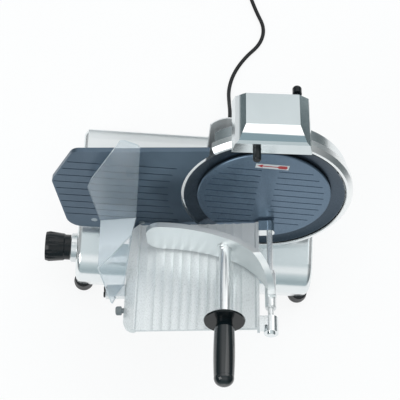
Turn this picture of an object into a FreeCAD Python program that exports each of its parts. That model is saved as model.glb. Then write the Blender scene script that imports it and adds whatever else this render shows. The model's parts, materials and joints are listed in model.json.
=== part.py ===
import FreeCAD, Part
import math
import os
import re
import Sketcher
from FreeCAD import Placement, Rotation, Vector

# Gravity-feed meat slicer with a 250 mm blade, millimetres, +Z up.
# +X is the carriage's cutting stroke, -Y is the carriage side and +Y the side where the slices fall.
# Pieces are drawn about the middle of the four feet on the table, and keep() then moves the origin
# to the middle of the slicer's box, its loose cord left out.

SIZES = {
    # middle of the box, from the middle of the feet
    "origin_across": -6.65,
    "origin_depth": -73.11,
    # base
    "base_length": 390,
    "base_depth": 252,
    "base_height": 74,
    "base_wall": 5,
    "shoulder_radius": 45,
    "rear_radius": 16,
    "end_radius": 10,
    "foot_height": 30,
    "foot_radius": 16.3,
    "foot_inset_side": 12,
    "foot_inset_front": 9,
    "foot_screw_radius": 3,
    "pad_height": 8,
    "pad_length": 28,
    "pad_depth": 26,
    "floor_plate_thickness": 2,
    "seat_gap": 0.3,
    "shaft_gap": 0.05,
    "open_gap": 0.5,
    # blade and its drive
    "blade_inset": 99,
    "blade_height": 230,
    "blade_tilt": 25,
    "blade_radius": 125,
    "blade_body": 3,
    "hub_bore_radius": 22,
    "hub_radius": 38,
    "hub_screw_circle": 30,
    "hub_screw_radius": 2,
    "shaft_radius": 8.5,
    "bearing_radius": 20,
    "bearing_width": 12,
    "tie_rod_radius": 4.2,
    "blade_pulley_radius": 55,
    "motor_pulley_radius": 11,
    "motor_shaft_radius": 4.5,
    "belt_thickness": 3,
    "belt_width": 11,
    "motor_across": 25,
    "motor_drop": 75,
    "motor_radius": 38,
    "motor_length": 78,
    "case_depth": 22,
    "case_reach": 11,
    "case_wall": 2.5,
    "housing_rim": 4,
    "housing_wall": 6,
    "housing_back": 40,
    "housing_left": 45,
    "housing_foot_length": 132,
    "housing_foot_depth": 36,
    "ring_gap": 2,
    "ring_width": 11,
    "ring_depth": 14,
    "ring_proud": 2.5,
    "ring_start": -102,
    "ring_end": 131,
    "cover_inset": 21.3,
    "cover_proud": 1.5,
    "cover_thickness": 3.6,
    "groove_width": 1.8,
    "groove_depth": 1,
    "cover_groove_pitch": 14.5,
    "cover_groove_turn": 2,
    # gauge plate and its dial
    "plate_overhang": 38.5,
    "plate_head_inset": 32.5,
    "plate_foot_inset": 26.1,
    "plate_top_inset": 24,
    "plate_top_fall": 21.4,
    "plate_low_inset": 16,
    "plate_notch": 36,
    "plate_gap": 4,
    "plate_thickness": 8,
    "plate_corner": 16,
    "plate_foot_corner": 26,
    "plate_groove_fall": 46,
    "plate_groove_pitch": 16.3,
    "plate_groove_margin": 3,
    "plate_screw_radius": 2.5,
    "plate_screw_head": 4.9,
    "plate_screw_sink": 2.6,
    "gauge_travel": 15,
    "stem_aside": 19,
    "stem_level": 114,
    "stem_radius": 8,
    "stem_length": 103,
    "dial_depth": 71,
    "dial_height": 66,
    "dial_radius": 24,
    "dial_width": 11,
    "knob_radius": 25,
    "knob_neck_radius": 21,
    "knob_length": 41,
    "knob_shaft_radius": 6,
    "cam_inset": 40,
    "cam_radius": 31,
    "cam_thickness": 7,
    "cam_start": 11,
    "cam_sweep": 300,
    "cam_pin_radius": 3,
    # carriage, in the tray's own slanted frame
    "tray_slant": 8,
    "tray_drop": 64,
    "tray_left": 200,
    "tray_right": 14,
    "tray_back": 4.5,
    "tray_front": 199,
    "tray_thickness": 5,
    "flute_pitch": 13.5,
    "flute_depth": 1.3,
    "flute_edge": 36.3,
    "rim_height": 3,
    "skirt_out": 20,
    "skirt_fall": 19,
    "skirt_corner": 38,
    "guard_thickness": 3,
    "guard_near": 15.5,
    "slide_bar_radius": 8,
    "slide_bar_height": 44,
    "slide_bar_depth": 2,
    "bush_radius": 11,
    "bush_block_length": 60,
    "arm_inset": 140,
    "arm_width": 50,
    "arm_low": 8,
    "arm_thickness": 18,
    "arm_clearance": 8,
    "upright_thickness": 16,
    "roller_radius": 9,
    "roller_width": 6.5,
    "axle_radius": 3,
    "rail_low": 34,
    "rail_height": 6,
    "rail_depth": 10,
    # pusher
    "rod_across": 7,
    "rod_radius": 4.5,
    "sleeve_radius": 8.6,
    "bush_wall": 1.6,
    "sleeve_start": 100,
    "sleeve_end": 164,
    "pusher_thickness": 9,
    "pusher_low": 4,
    "pusher_high": 62,
    "pusher_left": 184,
    "pusher_near": 48.5,
    "pusher_corner": 24,
    "handle_across": 61.3,
    "handle_rise": 34,
    "handle_radius": 9.5,
    "handle_collar_radius": 10.5,
    "handle_start": 77,
    "disc_start": 204,
    "disc_radius": 31,
    "disc_thickness": 4,
    "grip_radius": 16,
    "grip_length": 105,
    # sharpener, turned a little about the blade's axis
    "sharpener_turn": 2.6,
    "sharpener_gap": 23,
    "sharpener_height": 33,
    "sharpener_half_top": 47,
    "sharpener_half_low": 58,
    "sharpener_front": 35,
    "sharpener_rear": 50.8,
    "sharpener_wall": 2.5,
    "post_radius": 5.5,
    "post_across": 8,
    "post_depth": 47.5,
    "bracket_low": 69,
    "bracket_height": 43,
    "bracket_depth": 20,
    "clamp_radius": 4,
    "clamp_knob_radius": 13.5,
    "stone_radius": 13,
    "button_radius": 6,
    "spindle_radius": 4,
    # switch
    "start_depth": 34,
    "stop_depth": 62,
    "button_height": 68,
    "switch_stem_radius": 4.4,
    "switch_head_radius": 8,
    # cord
    "cord_radius": 3.4,
    "gland_radius": 7.8,
    "cord_exit_across": 50,
    "cord_exit_height": 50,
}

os.makedirs("parts", exist_ok=True)
doc = FreeCAD.newDocument("MeatSlicer")
sheet = doc.addObject("Spreadsheet::Sheet", "Sizes")
for row, (name, size) in enumerate(SIZES.items(), 1):
    sheet.set(f"A{row}", name)
    sheet.set(f"B{row}", str(size))
    sheet.setAlias(f"B{row}", name)
doc.recompute()


def value(expression):
    """The number that an expression of sheet names comes to."""
    return float(sheet.evalExpression(str(expression)))


def linked(expression):
    """The same expression, with each sheet name led by the sheet."""
    return re.sub(r"\b([a-z]+(?:_[a-z]+)+)\b", r"Sizes.\1", str(expression))


def at(x, y, z):
    return Vector(value(x), value(y), value(z))


AXIS_X = Vector(1, 0, 0)
AXIS_Y = Vector(0, 1, 0)
AXIS_Z = Vector(0, 0, 1)
WORLD = Placement()
ORIGIN = Placement(at("-origin_across", "-origin_depth", 0), Rotation())
ALONG_X = Rotation(AXIS_Y, 90)
ALONG_Y = Rotation(AXIS_X, -90)
ALONG_Z = Rotation()

base_top = "(foot_height + base_height)"
blade_x = "(base_length / 2 - blade_inset)"
arm_x = f"({blade_x} - arm_inset)"
cam_back = "(-base_length / 2 + cam_inset)"
stem_x = f"({cam_back} + cam_thickness + stem_aside)"
stem_across = f"({blade_x} - {stem_x})"
stem_drop = "((blade_height - stem_level) / cos(blade_tilt))"
pulley_back = "(-housing_back - 17)"
ring_inner = "(blade_radius + ring_gap)"
ring_outer = f"({ring_inner} + ring_width)"
housing_radius = f"({ring_inner} + housing_rim)"
cover_radius = "(blade_radius - cover_inset)"
plate_apex = f"({blade_x} + base_length / 2 + plate_overhang)"
plate_edge_radius = "(blade_radius + plate_gap)"
plate_right = f"({plate_edge_radius} - plate_notch)"
plate_top_right = "(blade_radius - plate_top_inset)"
plate_top_left = f"({plate_top_right} - plate_top_fall)"
plate_bottom = "(blade_radius - plate_low_inset)"
sharpener_low = "(blade_radius + sharpener_gap)"
sharpener_high = f"({sharpener_low} + sharpener_height)"

# In the blade's frame X runs along the stroke, Y up the blade's face and Z out of it
BLADE = Placement(at(blade_x, 0, "blade_height"), Rotation(AXIS_X, 90 - value("blade_tilt")))
TRAY = BLADE.multiply(Placement(Vector(), Rotation(AXIS_Z, value("tray_slant"))))
SHARPENER = BLADE.multiply(Placement(Vector(), Rotation(AXIS_Z, value("sharpener_turn"))))

subparts = {}


def keep(thing, label, frame=WORLD):
    """Register a finished piece under its node name, standing in its frame."""
    thing.Label = label
    if frame is not WORLD:
        thing.Placement = frame
    thing.Placement = ORIGIN.multiply(thing.Placement)
    subparts[label] = thing
    return thing


# Feature helpers


def new_body(label):
    return doc.addObject("PartDesign::Body", label + "_body")


def sketch_on(body, plane, offset=0):
    sketch = body.newObject("Sketcher::SketchObject", f"{body.Name}_sketch")
    origin = [item for item in body.Origin.OriginFeatures if item.Role == plane + "_Plane"][0]
    sketch.AttachmentSupport = [(origin, "")]
    sketch.MapMode = "FlatFace"
    sketch.AttachmentOffset = Placement(Vector(0, 0, value(offset)), Rotation())
    sketch.setExpression("AttachmentOffset.Base.z", linked(offset))
    return sketch


def outline(sketch, corners):
    """Closed outline: a corner is x, y, or x, y and a point that its arc goes through."""
    first = sketch.GeometryCount
    total = len(corners)
    ends = []
    for number, corner in enumerate(corners):
        before = corners[number - 1]
        start = Vector(value(before[0]), value(before[1]), 0)
        end = Vector(value(corner[0]), value(corner[1]), 0)
        ends.append((1, 2))
        if len(corner) == 4:
            middle = Vector(value(corner[2]), value(corner[3]), 0)
            if (middle - start).cross(end - middle).z > 0:
                sketch.addGeometry(Part.Arc(start, middle, end))
            else:
                sketch.addGeometry(Part.Arc(end, middle, start))
                ends[-1] = (2, 1)
        else:
            sketch.addGeometry(Part.LineSegment(start, end))
    for number in range(total):
        follower = (number + 1) % total
        join = (first + number, ends[number][1], first + follower, ends[follower][0])
        sketch.addConstraint(Sketcher.Constraint("Coincident", *join))
    for number, corner in enumerate(corners):
        for kind, text in (("DistanceX", corner[0]), ("DistanceY", corner[1])):
            held = (kind, -1, 1, first + number, ends[number][1], value(text))
            index = sketch.addConstraint(Sketcher.Constraint(*held))
            sketch.setExpression(f"Constraints[{index}]", linked(text))
        if len(corner) == 4:
            bend = sketch.Geometry[first + number].Radius
            sketch.addConstraint(Sketcher.Constraint("Radius", first + number, bend))


def circle(sketch, x, y, radius):
    centre = Vector(value(x), value(y), 0)
    number = sketch.addGeometry(Part.Circle(centre, AXIS_Z, value(radius)))
    for kind, text in (("DistanceX", x), ("DistanceY", y)):
        index = sketch.addConstraint(Sketcher.Constraint(kind, -1, 1, number, 3, value(text)))
        sketch.setExpression(f"Constraints[{index}]", linked(text))
    index = sketch.addConstraint(Sketcher.Constraint("Radius", number, value(radius)))
    sketch.setExpression(f"Constraints[{index}]", linked(radius))


def pad(body, sketch, length, side="One side", reverse=False):
    feature = body.newObject("PartDesign::Pad", f"{body.Name}_pad")
    feature.Profile = sketch
    feature.SideType = side
    feature.Reversed = reverse
    feature.Length = value(length)
    feature.setExpression("Length", linked(length))
    doc.recompute()
    return feature


def pocket(body, sketch, length, side="One side", reverse=False):
    before = body.Shape.Volume
    feature = body.newObject("PartDesign::Pocket", f"{body.Name}_pocket")
    feature.Profile = sketch
    feature.SideType = side
    feature.Reversed = reverse
    feature.Length = value(length)
    feature.setExpression("Length", linked(length))
    doc.recompute()
    if body.Shape.Volume >= before - 1e-6:
        raise RuntimeError(f"{body.Name}: a pocket cuts nothing")
    return feature


def revolve(body, sketch, angle=360):
    feature = body.newObject("PartDesign::Revolution", f"{body.Name}_revolution")
    feature.Profile = sketch
    feature.ReferenceAxis = (sketch, ["V_Axis"])
    feature.Angle = value(angle)
    feature.setExpression("Angle", linked(angle))
    doc.recompute()
    return feature


def dress(body, kind, radius, chosen):
    """Fillet or chamfer the edges of a body that a test picks."""
    base = body.Tip
    names = []
    for number, edge in enumerate(base.Shape.Edges, 1):
        if chosen(edge):
            names.append(f"Edge{number}")
    feature = body.newObject("PartDesign::" + kind, f"{body.Name}_{kind.lower()}")
    feature.Base = (base, names)
    place = "Radius" if kind == "Fillet" else "Size"
    setattr(feature, place, value(radius))
    feature.setExpression(place, linked(radius))
    doc.recompute()
    return feature


def settle(thing, x, y, z, frame):
    """Bind a primitive's place to the sheet, or stand it in a frame."""
    if frame is None:
        for place, text in (("x", x), ("y", y), ("z", z)):
            thing.setExpression("Placement.Base." + place, linked(text))
    else:
        thing.Placement = frame.multiply(thing.Placement)


def block(name, x, y, z, size_x, size_y, size_z, frame=None):
    box = doc.addObject("Part::Box", name + "_solid")
    box.Placement = Placement(at(x, y, z), Rotation())
    settle(box, x, y, z, frame)
    for place, text in (("Length", size_x), ("Width", size_y), ("Height", size_z)):
        setattr(box, place, value(text))
        box.setExpression(place, linked(text))
    return box


def drum(name, x, y, z, radius, length, turn=ALONG_Z, frame=None):
    bar = doc.addObject("Part::Cylinder", name + "_solid")
    bar.Placement = Placement(at(x, y, z), turn)
    settle(bar, x, y, z, frame)
    for place, text in (("Radius", radius), ("Height", length)):
        setattr(bar, place, value(text))
        bar.setExpression(place, linked(text))
    return bar


def cut(base, *tools):
    result = base
    for tool in tools:
        step = doc.addObject("Part::Cut", "cut")
        step.Base = result
        step.Tool = tool
        result = step
    return result


def fuse(*pieces):
    joined = doc.addObject("Part::MultiFuse", "fusion")
    joined.Shapes = list(pieces)
    joined.Refine = True
    return joined


def moulded(label, shape, frame=WORLD):
    """A piece whose form is worked out in code, in its frame."""
    feature = doc.addObject("Part::Feature", label + "_solid")
    feature.Shape = shape
    feature.Placement = frame.multiply(feature.Placement)
    return keep(feature, label)


def turned(corners, angle=360):
    """Solid of revolution about Z through radius, height pairs."""
    points = [Vector(value(radius), 0, value(height)) for radius, height in corners]
    face = Part.Face(Part.makePolygon(points + points[:1]))
    return face.revolve(Vector(), AXIS_Z, angle)


def rod(radius, length, start=None, direction=AXIS_Z):
    return Part.makeCylinder(value(radius), value(length), start or Vector(), direction)


def brick(x, y, z, size_x, size_y, size_z):
    return Part.makeBox(value(size_x), value(size_y), value(size_z), at(x, y, z))


def copies(shape, places):
    """The same solid at several places, as one group of separate solids."""
    solids = []
    for place in places:
        solid = shape.copy()
        solid.Placement = Placement(place, Rotation()).multiply(solid.Placement)
        solids.append(solid)
    return Part.Compound(solids)


# Share of a round corner's radius from its sides to the middle of its arc
DIAGONAL = 1 - math.sqrt(0.5)


# Base: a hollow casting, open below, on four rubber feet


def base_profile(sketch, wall):
    """Section across the base: rounded shoulder in front, small radius at the back."""
    front = f"-base_depth / 2 + {wall}"
    back = f"base_depth / 2 - {wall}"
    top = f"{base_top} - {wall}"
    low = "foot_height" if wall == "0" else "foot_height - base_wall"
    shoulder = f"shoulder_radius - {wall}"
    rear = f"rear_radius - {wall}"
    outline(sketch, [
        (front, low),
        (front, f"{top} - ({shoulder})"),
        (f"{front} + {shoulder}", top,
         f"{front} + ({shoulder}) * {DIAGONAL}", f"{top} - ({shoulder}) * {DIAGONAL}"),
        (f"{back} - ({rear})", top),
        (back, f"{top} - ({rear})",
         f"{back} - ({rear}) * {DIAGONAL}", f"{top} - ({rear}) * {DIAGONAL}"),
        (back, low),
    ])


foot_x = "base_length / 2 - foot_inset_side"
foot_y = "base_depth / 2 - foot_inset_front"


def make_base():
    body = new_body("base")
    profile = sketch_on(body, "YZ")
    base_profile(profile, "0")
    pad(body, profile, "base_length", "Symmetric")
    half = value("base_length / 2")
    low = value("foot_height")

    def on_end(edge):
        points = [vertex.Point for vertex in edge.Vertexes]
        on_face = all(abs(abs(point.x) - half) < 1e-3 for point in points)
        return on_face and not all(abs(point.z - low) < 1e-3 for point in points)

    dress(body, "Fillet", "end_radius", on_end)
    room = new_body("base_room")
    hollow = sketch_on(room, "YZ")
    base_profile(hollow, "base_wall")
    pad(room, hollow, "base_length - 2 * base_wall", "Symmetric")
    shell = cut(body, room)
    corners = []
    inset = "base_wall / 2"
    for side, start_x in (("left", f"-base_length / 2 + {inset}"), ("right", "base_length / 2 - pad_length")):
        for end, start_y in (("front", f"-base_depth / 2 + {inset}"), ("back", "base_depth / 2 - pad_depth")):
            corners.append(block(f"{side}_{end}_pad", start_x, start_y, "foot_height",
                                 f"pad_length - {inset}", f"pad_depth - {inset}", "pad_height"))
    shell = fuse(shell, *corners)
    holes = []
    for side in ("", "-"):
        for end in ("", "-"):
            holes.append(drum("pad_hole", f"{side}({foot_x})", f"{end}({foot_y})", "foot_height - 1",
                              "foot_screw_radius + shaft_gap", "pad_height + 2"))
    holes.append(block("stem_window", f"{stem_x} - 22", "-66", f"{base_top} - base_wall - 1",
                       "44", "78", "base_wall + 2"))
    holes.append(drum("motor_bay", "motor_across", "-motor_drop", "-housing_back - case_depth - 98",
                      "motor_radius + 8", "98", frame=BLADE))
    recess = doc.addObject("Part::Feature", "belt_case_recess")
    recess.Shape = belt_outline(value("case_reach") + 2).extrude(Vector(0, 0, value("case_depth") + 4))
    recess.Placement = BLADE.multiply(Placement(at(0, 0, "-housing_back - case_depth - 2"), Rotation()))
    holes.append(recess)
    holes.append(drum("blade_room", 0, 0, "-ring_depth", ring_inner, "ring_depth + ring_proud", frame=BLADE))
    left = "-base_length / 2 - 1"
    holes.append(drum("dial_hole", left, "-dial_depth", "dial_height", "knob_shaft_radius + open_gap",
                      "base_wall + 2", ALONG_X))
    for button_y in ("start_depth", "stop_depth"):
        holes.append(drum("button_hole", left, button_y, "button_height", "switch_stem_radius + 0.6",
                          "base_wall + 2", ALONG_X))
    holes.append(drum("cord_hole", "cord_exit_across", "base_depth / 2 - base_wall - 1", "cord_exit_height",
                      "gland_radius + 0.2", "base_wall + 2", ALONG_Y))
    keep(cut(shell, fuse(*holes)), "base_casting")


def make_floor_plate():
    body = new_body("floor_plate")
    sketch = sketch_on(body, "XY", "foot_height - floor_plate_thickness")
    outline(sketch, [
        ("-base_length / 2 + 4", "36"),
        ("base_length / 2 - 4", "36"),
        ("base_length / 2 - 4", "92"),
        ("base_length / 2 - 34", "92"),
        ("base_length / 2 - 34", "base_depth / 2 - 3"),
        ("-base_length / 2 + 34", "base_depth / 2 - 3"),
        ("-base_length / 2 + 34", "92"),
        ("-base_length / 2 + 4", "92"),
    ])
    pad(body, sketch, "floor_plate_thickness")
    keep(body, "floor_plate")


def corner_places():
    places = []
    for side in ("", "-"):
        for end in ("", "-"):
            places.append(at(f"{side}({foot_x})", f"{end}({foot_y})", 0))
    return places


def make_feet():
    recess_radius = 7
    recess_depth = 12
    bore = "foot_screw_radius + shaft_gap"
    foot = turned([
        (bore, recess_depth), (recess_radius, recess_depth), (recess_radius, 0), ("foot_radius - 1", 0),
        ("foot_radius", 1.5), ("foot_radius", 8), ("foot_radius - 2.6", "foot_height"), (bore, "foot_height"),
    ])
    moulded("rubber_feet", copies(foot, corner_places()))
    head_radius = 6.5
    head_low = 8.5
    head_high = recess_depth - 0.1
    end = "foot_height + pad_height + 2"
    fixing = turned([
        (0, head_low), (head_radius, head_low), (head_radius, head_high), ("foot_screw_radius", head_high),
        ("foot_screw_radius", end), (0, end),
    ])
    moulded("foot_screws", copies(fixing, corner_places()))


def make_receiving_tray():
    sheet_thickness = 1.5
    lip = 8
    front = 16
    body = new_body("receiving")
    sketch = sketch_on(body, "YZ")
    outline(sketch, [
        (front, base_top),
        ("base_depth / 2 - rear_radius - 1", base_top),
        ("base_depth / 2 - 4", f"{base_top} + 2"),
        ("base_depth / 2 - 4", f"{base_top} + {lip}"),
        (f"base_depth / 2 - 4 - {sheet_thickness}", f"{base_top} + {lip}"),
        (f"base_depth / 2 - 4 - {sheet_thickness}", f"{base_top} + 3.4"),
        ("base_depth / 2 - rear_radius - 1.4", f"{base_top} + {sheet_thickness}"),
        (front, f"{base_top} + {sheet_thickness}"),
    ])
    pad(body, sketch, "base_length / 2 + 8")
    keep(body, "receiving_tray", Placement(at("-base_length / 2 + 7", 0, 0), Rotation()))


# Blade, hub, bearings and belt drive, all turned about the blade's axis


def hub_screw_places(height=0):
    """Centres of the four screws that hold the blade to its hub."""
    places = []
    for turn in (45, 135, 225, 315):
        angle = math.radians(turn)
        reach = value("hub_screw_circle")
        places.append(Vector(reach * math.cos(angle), reach * math.sin(angle), height))
    return places


def make_blade():
    body = new_body("blade")
    sketch = sketch_on(body, "XZ")
    outline(sketch, [
        ("hub_bore_radius", "-8"),
        ("blade_radius - 21", "-8"),
        ("blade_radius - 8", "-4.2"),
        ("blade_radius", "0"),
        ("blade_radius - 18", "-4.4", "blade_radius - 9", "-2.9"),
        ("blade_radius - 25", "-8 + blade_body"),
        ("hub_bore_radius", "-8 + blade_body"),
    ])
    revolve(body, sketch)
    screws = sketch_on(body, "XY", "-10")
    for place in hub_screw_places():
        circle(screws, place.x, place.y, "hub_screw_radius + 0.6")
    pocket(body, screws, "8", reverse=True)
    keep(body, "blade", BLADE)


def make_hub():
    bore = "tie_rod_radius + 0.35"
    spigot = "hub_bore_radius - shaft_gap"
    flange_top = -8.05
    flange_low = -15
    end = f"{pulley_back} - 1.3"
    hub = turned([
        (bore, -10), (spigot, -10), (spigot, flange_top), ("hub_radius", flange_top),
        ("hub_radius", flange_low + 1), (14, flange_low), ("shaft_radius", flange_low),
        ("shaft_radius", end), (bore, end),
    ])
    for place in hub_screw_places(flange_low):
        hub = hub.cut(rod("hub_screw_radius + shaft_gap", 8, place))
    moulded("blade_hub", hub, BLADE)
    head_radius = 4.4
    head_low = -4.95
    head_top = -3.2
    end = flange_low + 1.5
    screw = turned([
        (0, end), ("hub_screw_radius", end), ("hub_screw_radius", head_low), (head_radius, head_low),
        (head_radius, head_top), (0, head_top),
    ])
    moulded("blade_screws", copies(screw, hub_screw_places()), BLADE)


def make_bearings():
    race = turned([
        ("shaft_radius + shaft_gap", "0"), ("bearing_radius - 0.02", "0"),
        ("bearing_radius - 0.02", "bearing_width"), ("shaft_radius + shaft_gap", "bearing_width"),
    ])
    step = value("bearing_width + 0.1")
    back = value("-housing_back + 0.4")
    moulded("blade_bearings", copies(race, [Vector(0, 0, back), Vector(0, 0, back + step)]), BLADE)


def make_blade_cover():
    body = new_body("cover")
    sketch = sketch_on(body, "XZ")
    rod_hole = "tie_rod_radius + 0.05"
    low = "cover_proud - cover_thickness"
    outline(sketch, [
        (0, "cover_proud"),
        (f"{cover_radius} - 1.2", "cover_proud"),
        (cover_radius, "cover_proud - 1.2"),
        (cover_radius, low),
        ("14", low),
        ("14", "-9.4"),
        (rod_hole, "-9.4"),
        (rod_hole, f"{low} + 1"),
        (0, f"{low} + 1"),
    ])
    revolve(body, sketch)
    grooves = sketch_on(body, "XY", "cover_proud - groove_depth")
    turn = math.radians(value("cover_groove_turn"))
    reach = value(f"{cover_radius} - 11")
    for number in range(10):
        height = value("cover_groove_pitch") * (4.5 - number)
        if abs(height) >= reach - 12:
            continue
        end = math.sqrt(reach * reach - height * height)
        half = value("groove_width / 2")
        for near, far in ((13, end), (-end, -13)):
            corners = []
            for along, across in ((near, -half), (far, -half), (far, half), (near, half)):
                x = along * math.cos(turn) + (height + across) * math.sin(turn)
                y = -along * math.sin(turn) + (height + across) * math.cos(turn)
                corners.append((x, y))
            outline(grooves, corners)
    pocket(body, grooves, "groove_depth + 1", reverse=True)
    keep(body, "blade_cover", BLADE)


def make_cover_rod():
    end = -84
    shaft = turned([(0, -6), (0, end), ("tie_rod_radius", end), ("tie_rod_radius", -6)])
    moulded("cover_tie_rod", shaft, BLADE)
    radius = 17
    front = -66
    back = end - 1
    bore = "tie_rod_radius + 0.03"
    knob = turned([
        (bore, front), (9, front), (10, front - 4), (radius - 1, front - 6), (radius, front - 7.5),
        (radius, back + 2), (radius - 2, back), (0, back), (0, end - 0.05), (bore, end - 0.05),
    ])
    finger_circle = 20
    for turn in range(6):
        angle = math.radians(60 * turn)
        centre = Vector(finger_circle * math.cos(angle), finger_circle * math.sin(angle), back - 1)
        knob = knob.cut(rod(5, 16, centre))
    moulded("cover_knob", knob, BLADE)


def above_base(shape):
    """Cut a blade-frame solid off flat at the base's top face."""
    room = brick(-400, -400, base_top, 800, 800, 600)
    room.Placement = BLADE.inverse().multiply(room.Placement)
    return shape.common(room)


def swept_ring(corners):
    """Ring section turned from its start, or from where a large ring comes out of the base, to its end."""
    first = value("ring_start")
    reach = value(ring_inner)
    level = value(f"(blade_height - {base_top}) / cos(blade_tilt)")
    if level < reach:
        first = max(first, -math.degrees(math.asin(level / reach)))
    solid = turned(corners, value("ring_end") - first)
    solid.rotate(Vector(), AXIS_Z, first)
    return solid


def make_ring_guard():
    back = "-ring_depth"
    ring = swept_ring([
        (ring_inner, back), (ring_inner, "ring_proud - 1.2"), (f"{ring_inner} + 1.2", "ring_proud"),
        (f"{ring_inner} + 5", "ring_proud"), (ring_outer, "-4"), (ring_outer, back),
    ])
    moulded("ring_guard", above_base(ring), BLADE)


def make_housing():
    rim = swept_ring([
        (ring_inner, "-housing_back"), (ring_inner, "-ring_depth"),
        (housing_radius, "-ring_depth"), (housing_radius, "-housing_back"),
    ])
    room_floor = value("-ring_depth - 1.4")
    plate = rod(housing_radius, "housing_wall", at(0, 0, "-housing_back"))
    kept = brick("-housing_left", f"-{ring_outer}", "-housing_back", f"housing_left + {ring_outer}",
                 f"2 * {ring_outer}", "housing_back")
    plate = plate.common(kept)
    boss = rod("bearing_radius + 6", room_floor + value("housing_back"), at(0, 0, "-housing_back"))
    shell = plate.fuse([rim, boss])
    rib_width = 6
    rib_height = 16
    for angle in (20, 65, -25, -70):
        rib = brick("bearing_radius", -rib_width / 2, "-housing_back", f"{housing_radius} - bearing_radius - 2",
                    rib_width, rib_height)
        rib.rotate(Vector(), AXIS_Z, angle)
        shell = shell.fuse(rib)
    rise = max(14, value(f"blade_height - {base_top} - 112"))
    foot = brick(f"{blade_x} - 40", "6 - housing_foot_depth", base_top, "housing_foot_length",
                 "housing_foot_depth", rise)
    foot.Placement = BLADE.inverse().multiply(foot.Placement)
    shell = shell.fuse(foot)
    bearing_bore = rod("bearing_radius", "bearing_width * 2 + 0.6", at(0, 0, "-housing_back + 0.3"))
    shaft_bore = rod("shaft_radius + 3", 60, Vector(0, 0, -70))
    blade_room = rod(ring_inner, 40, Vector(0, 0, room_floor))
    case_room = belt_outline(value("case_reach") + 1.5).extrude(Vector(0, 0, value("2 * case_depth")))
    case_room.translate(at(0, 0, "-housing_back - 2 * case_depth"))
    for room in (bearing_bore, shaft_bore, blade_room, case_room):
        shell = shell.cut(room)
    moulded("blade_housing", above_base(shell.removeSplitter()), BLADE)


def pulley(radius, bore):
    """Flanged pulley for the flat belt, with its back at the pulleys' level."""
    flange = f"({radius}) + 2"
    back = pulley_back
    width = "belt_width"
    return turned([
        (bore, back), (flange, back), (flange, f"{back} + 1"), (radius, f"{back} + 1"),
        (radius, f"{back} + 1 + {width}"), (flange, f"{back} + 1 + {width}"),
        (flange, f"{back} + 2 + {width}"), (bore, f"{back} + 2 + {width}"),
    ])


def make_pulleys():
    web = f"{pulley_back} + belt_width - 2"
    face = f"{pulley_back} + belt_width + 3"
    reach = "blade_pulley_radius - 9"
    groove = turned([(16, web), (reach, web), (reach, face), (16, face)])
    moulded("blade_pulley", pulley("blade_pulley_radius", "shaft_radius + 0.03").cut(groove), BLADE)
    stub = rod("motor_shaft_radius", 14, at(0, 0, f"{pulley_back} - 14"))
    small = pulley("motor_pulley_radius", 0).fuse(stub).removeSplitter()
    small.translate(at("motor_across", "-motor_drop", 0))
    moulded("motor_pulley", small, BLADE)


def belt_outline(grow):
    """Outline round both pulleys, standing off them by a distance."""
    big = value("blade_pulley_radius") + grow
    small = value("motor_pulley_radius") + grow
    centre = at("motor_across", "-motor_drop", 0)
    span = centre.Length
    lean = math.atan2(centre.y, centre.x)
    spread = math.acos((big - small) / span)
    points = []
    for turn in (lean + spread, lean + math.pi, lean - spread):
        points.append(Vector(big * math.cos(turn), big * math.sin(turn), 0))
    for turn in (lean - spread, lean, lean + spread):
        points.append(centre + Vector(small * math.cos(turn), small * math.sin(turn), 0))
    edges = [
        Part.Arc(points[0], points[1], points[2]).toShape(),
        Part.makeLine(points[2], points[3]),
        Part.Arc(points[3], points[4], points[5]).toShape(),
        Part.makeLine(points[5], points[0]),
    ]
    return Part.Face(Part.Wire(edges))


def make_belt():
    edge_gap = 0.4
    width = value("belt_width") - 2 * edge_gap
    outer = belt_outline(value("seat_gap + belt_thickness"))
    inner = belt_outline(value("seat_gap"))
    belt = outer.extrude(Vector(0, 0, width)).cut(inner.extrude(Vector(0, 0, width)))
    belt.translate(at(0, 0, f"{pulley_back} + 1 + {edge_gap}"))
    moulded("drive_belt", belt, BLADE)


def make_drive_cover():
    wall = value("case_wall")
    depth = value("case_depth")
    case = belt_outline(value("case_reach")).extrude(Vector(0, 0, depth - 0.2))
    room = belt_outline(value("case_reach") - wall).extrude(Vector(0, 0, depth))
    case = case.cut(room.translated(Vector(0, 0, wall)))
    case.translate(at(0, 0, "-housing_back - case_depth"))
    for centre in (Vector(), at("motor_across", "-motor_drop", 0)):
        hole = rod(6, "2 * case_wall", centre + at(0, 0, "-housing_back - case_depth - 1"))
        case = case.cut(hole)
    moulded("drive_cover", case, BLADE)


def make_motor():
    length = value("motor_length") + 10
    can = turned([
        (0, -length), ("motor_radius - 4", -length), ("motor_radius + 2", 4 - length),
        ("motor_radius + 2", -14), ("motor_radius + 6", -12), ("motor_radius + 6", 0), (0, 0),
    ])
    fins = 24
    for number in range(fins):
        angle = 2 * math.pi * number / fins
        reach = value("motor_radius") + 3
        slot = rod(1.6, length - 24, Vector(reach * math.cos(angle), reach * math.sin(angle), 8 - length))
        can = can.cut(slot)
    can = can.cut(rod("motor_shaft_radius + shaft_gap", 15, Vector(0, 0, -14.5)))
    can.translate(at("motor_across", "-motor_drop", "-housing_back - case_depth"))
    moulded("motor_housing", can, BLADE)


# Gauge plate, its stem and guide, and the dial that moves it


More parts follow.
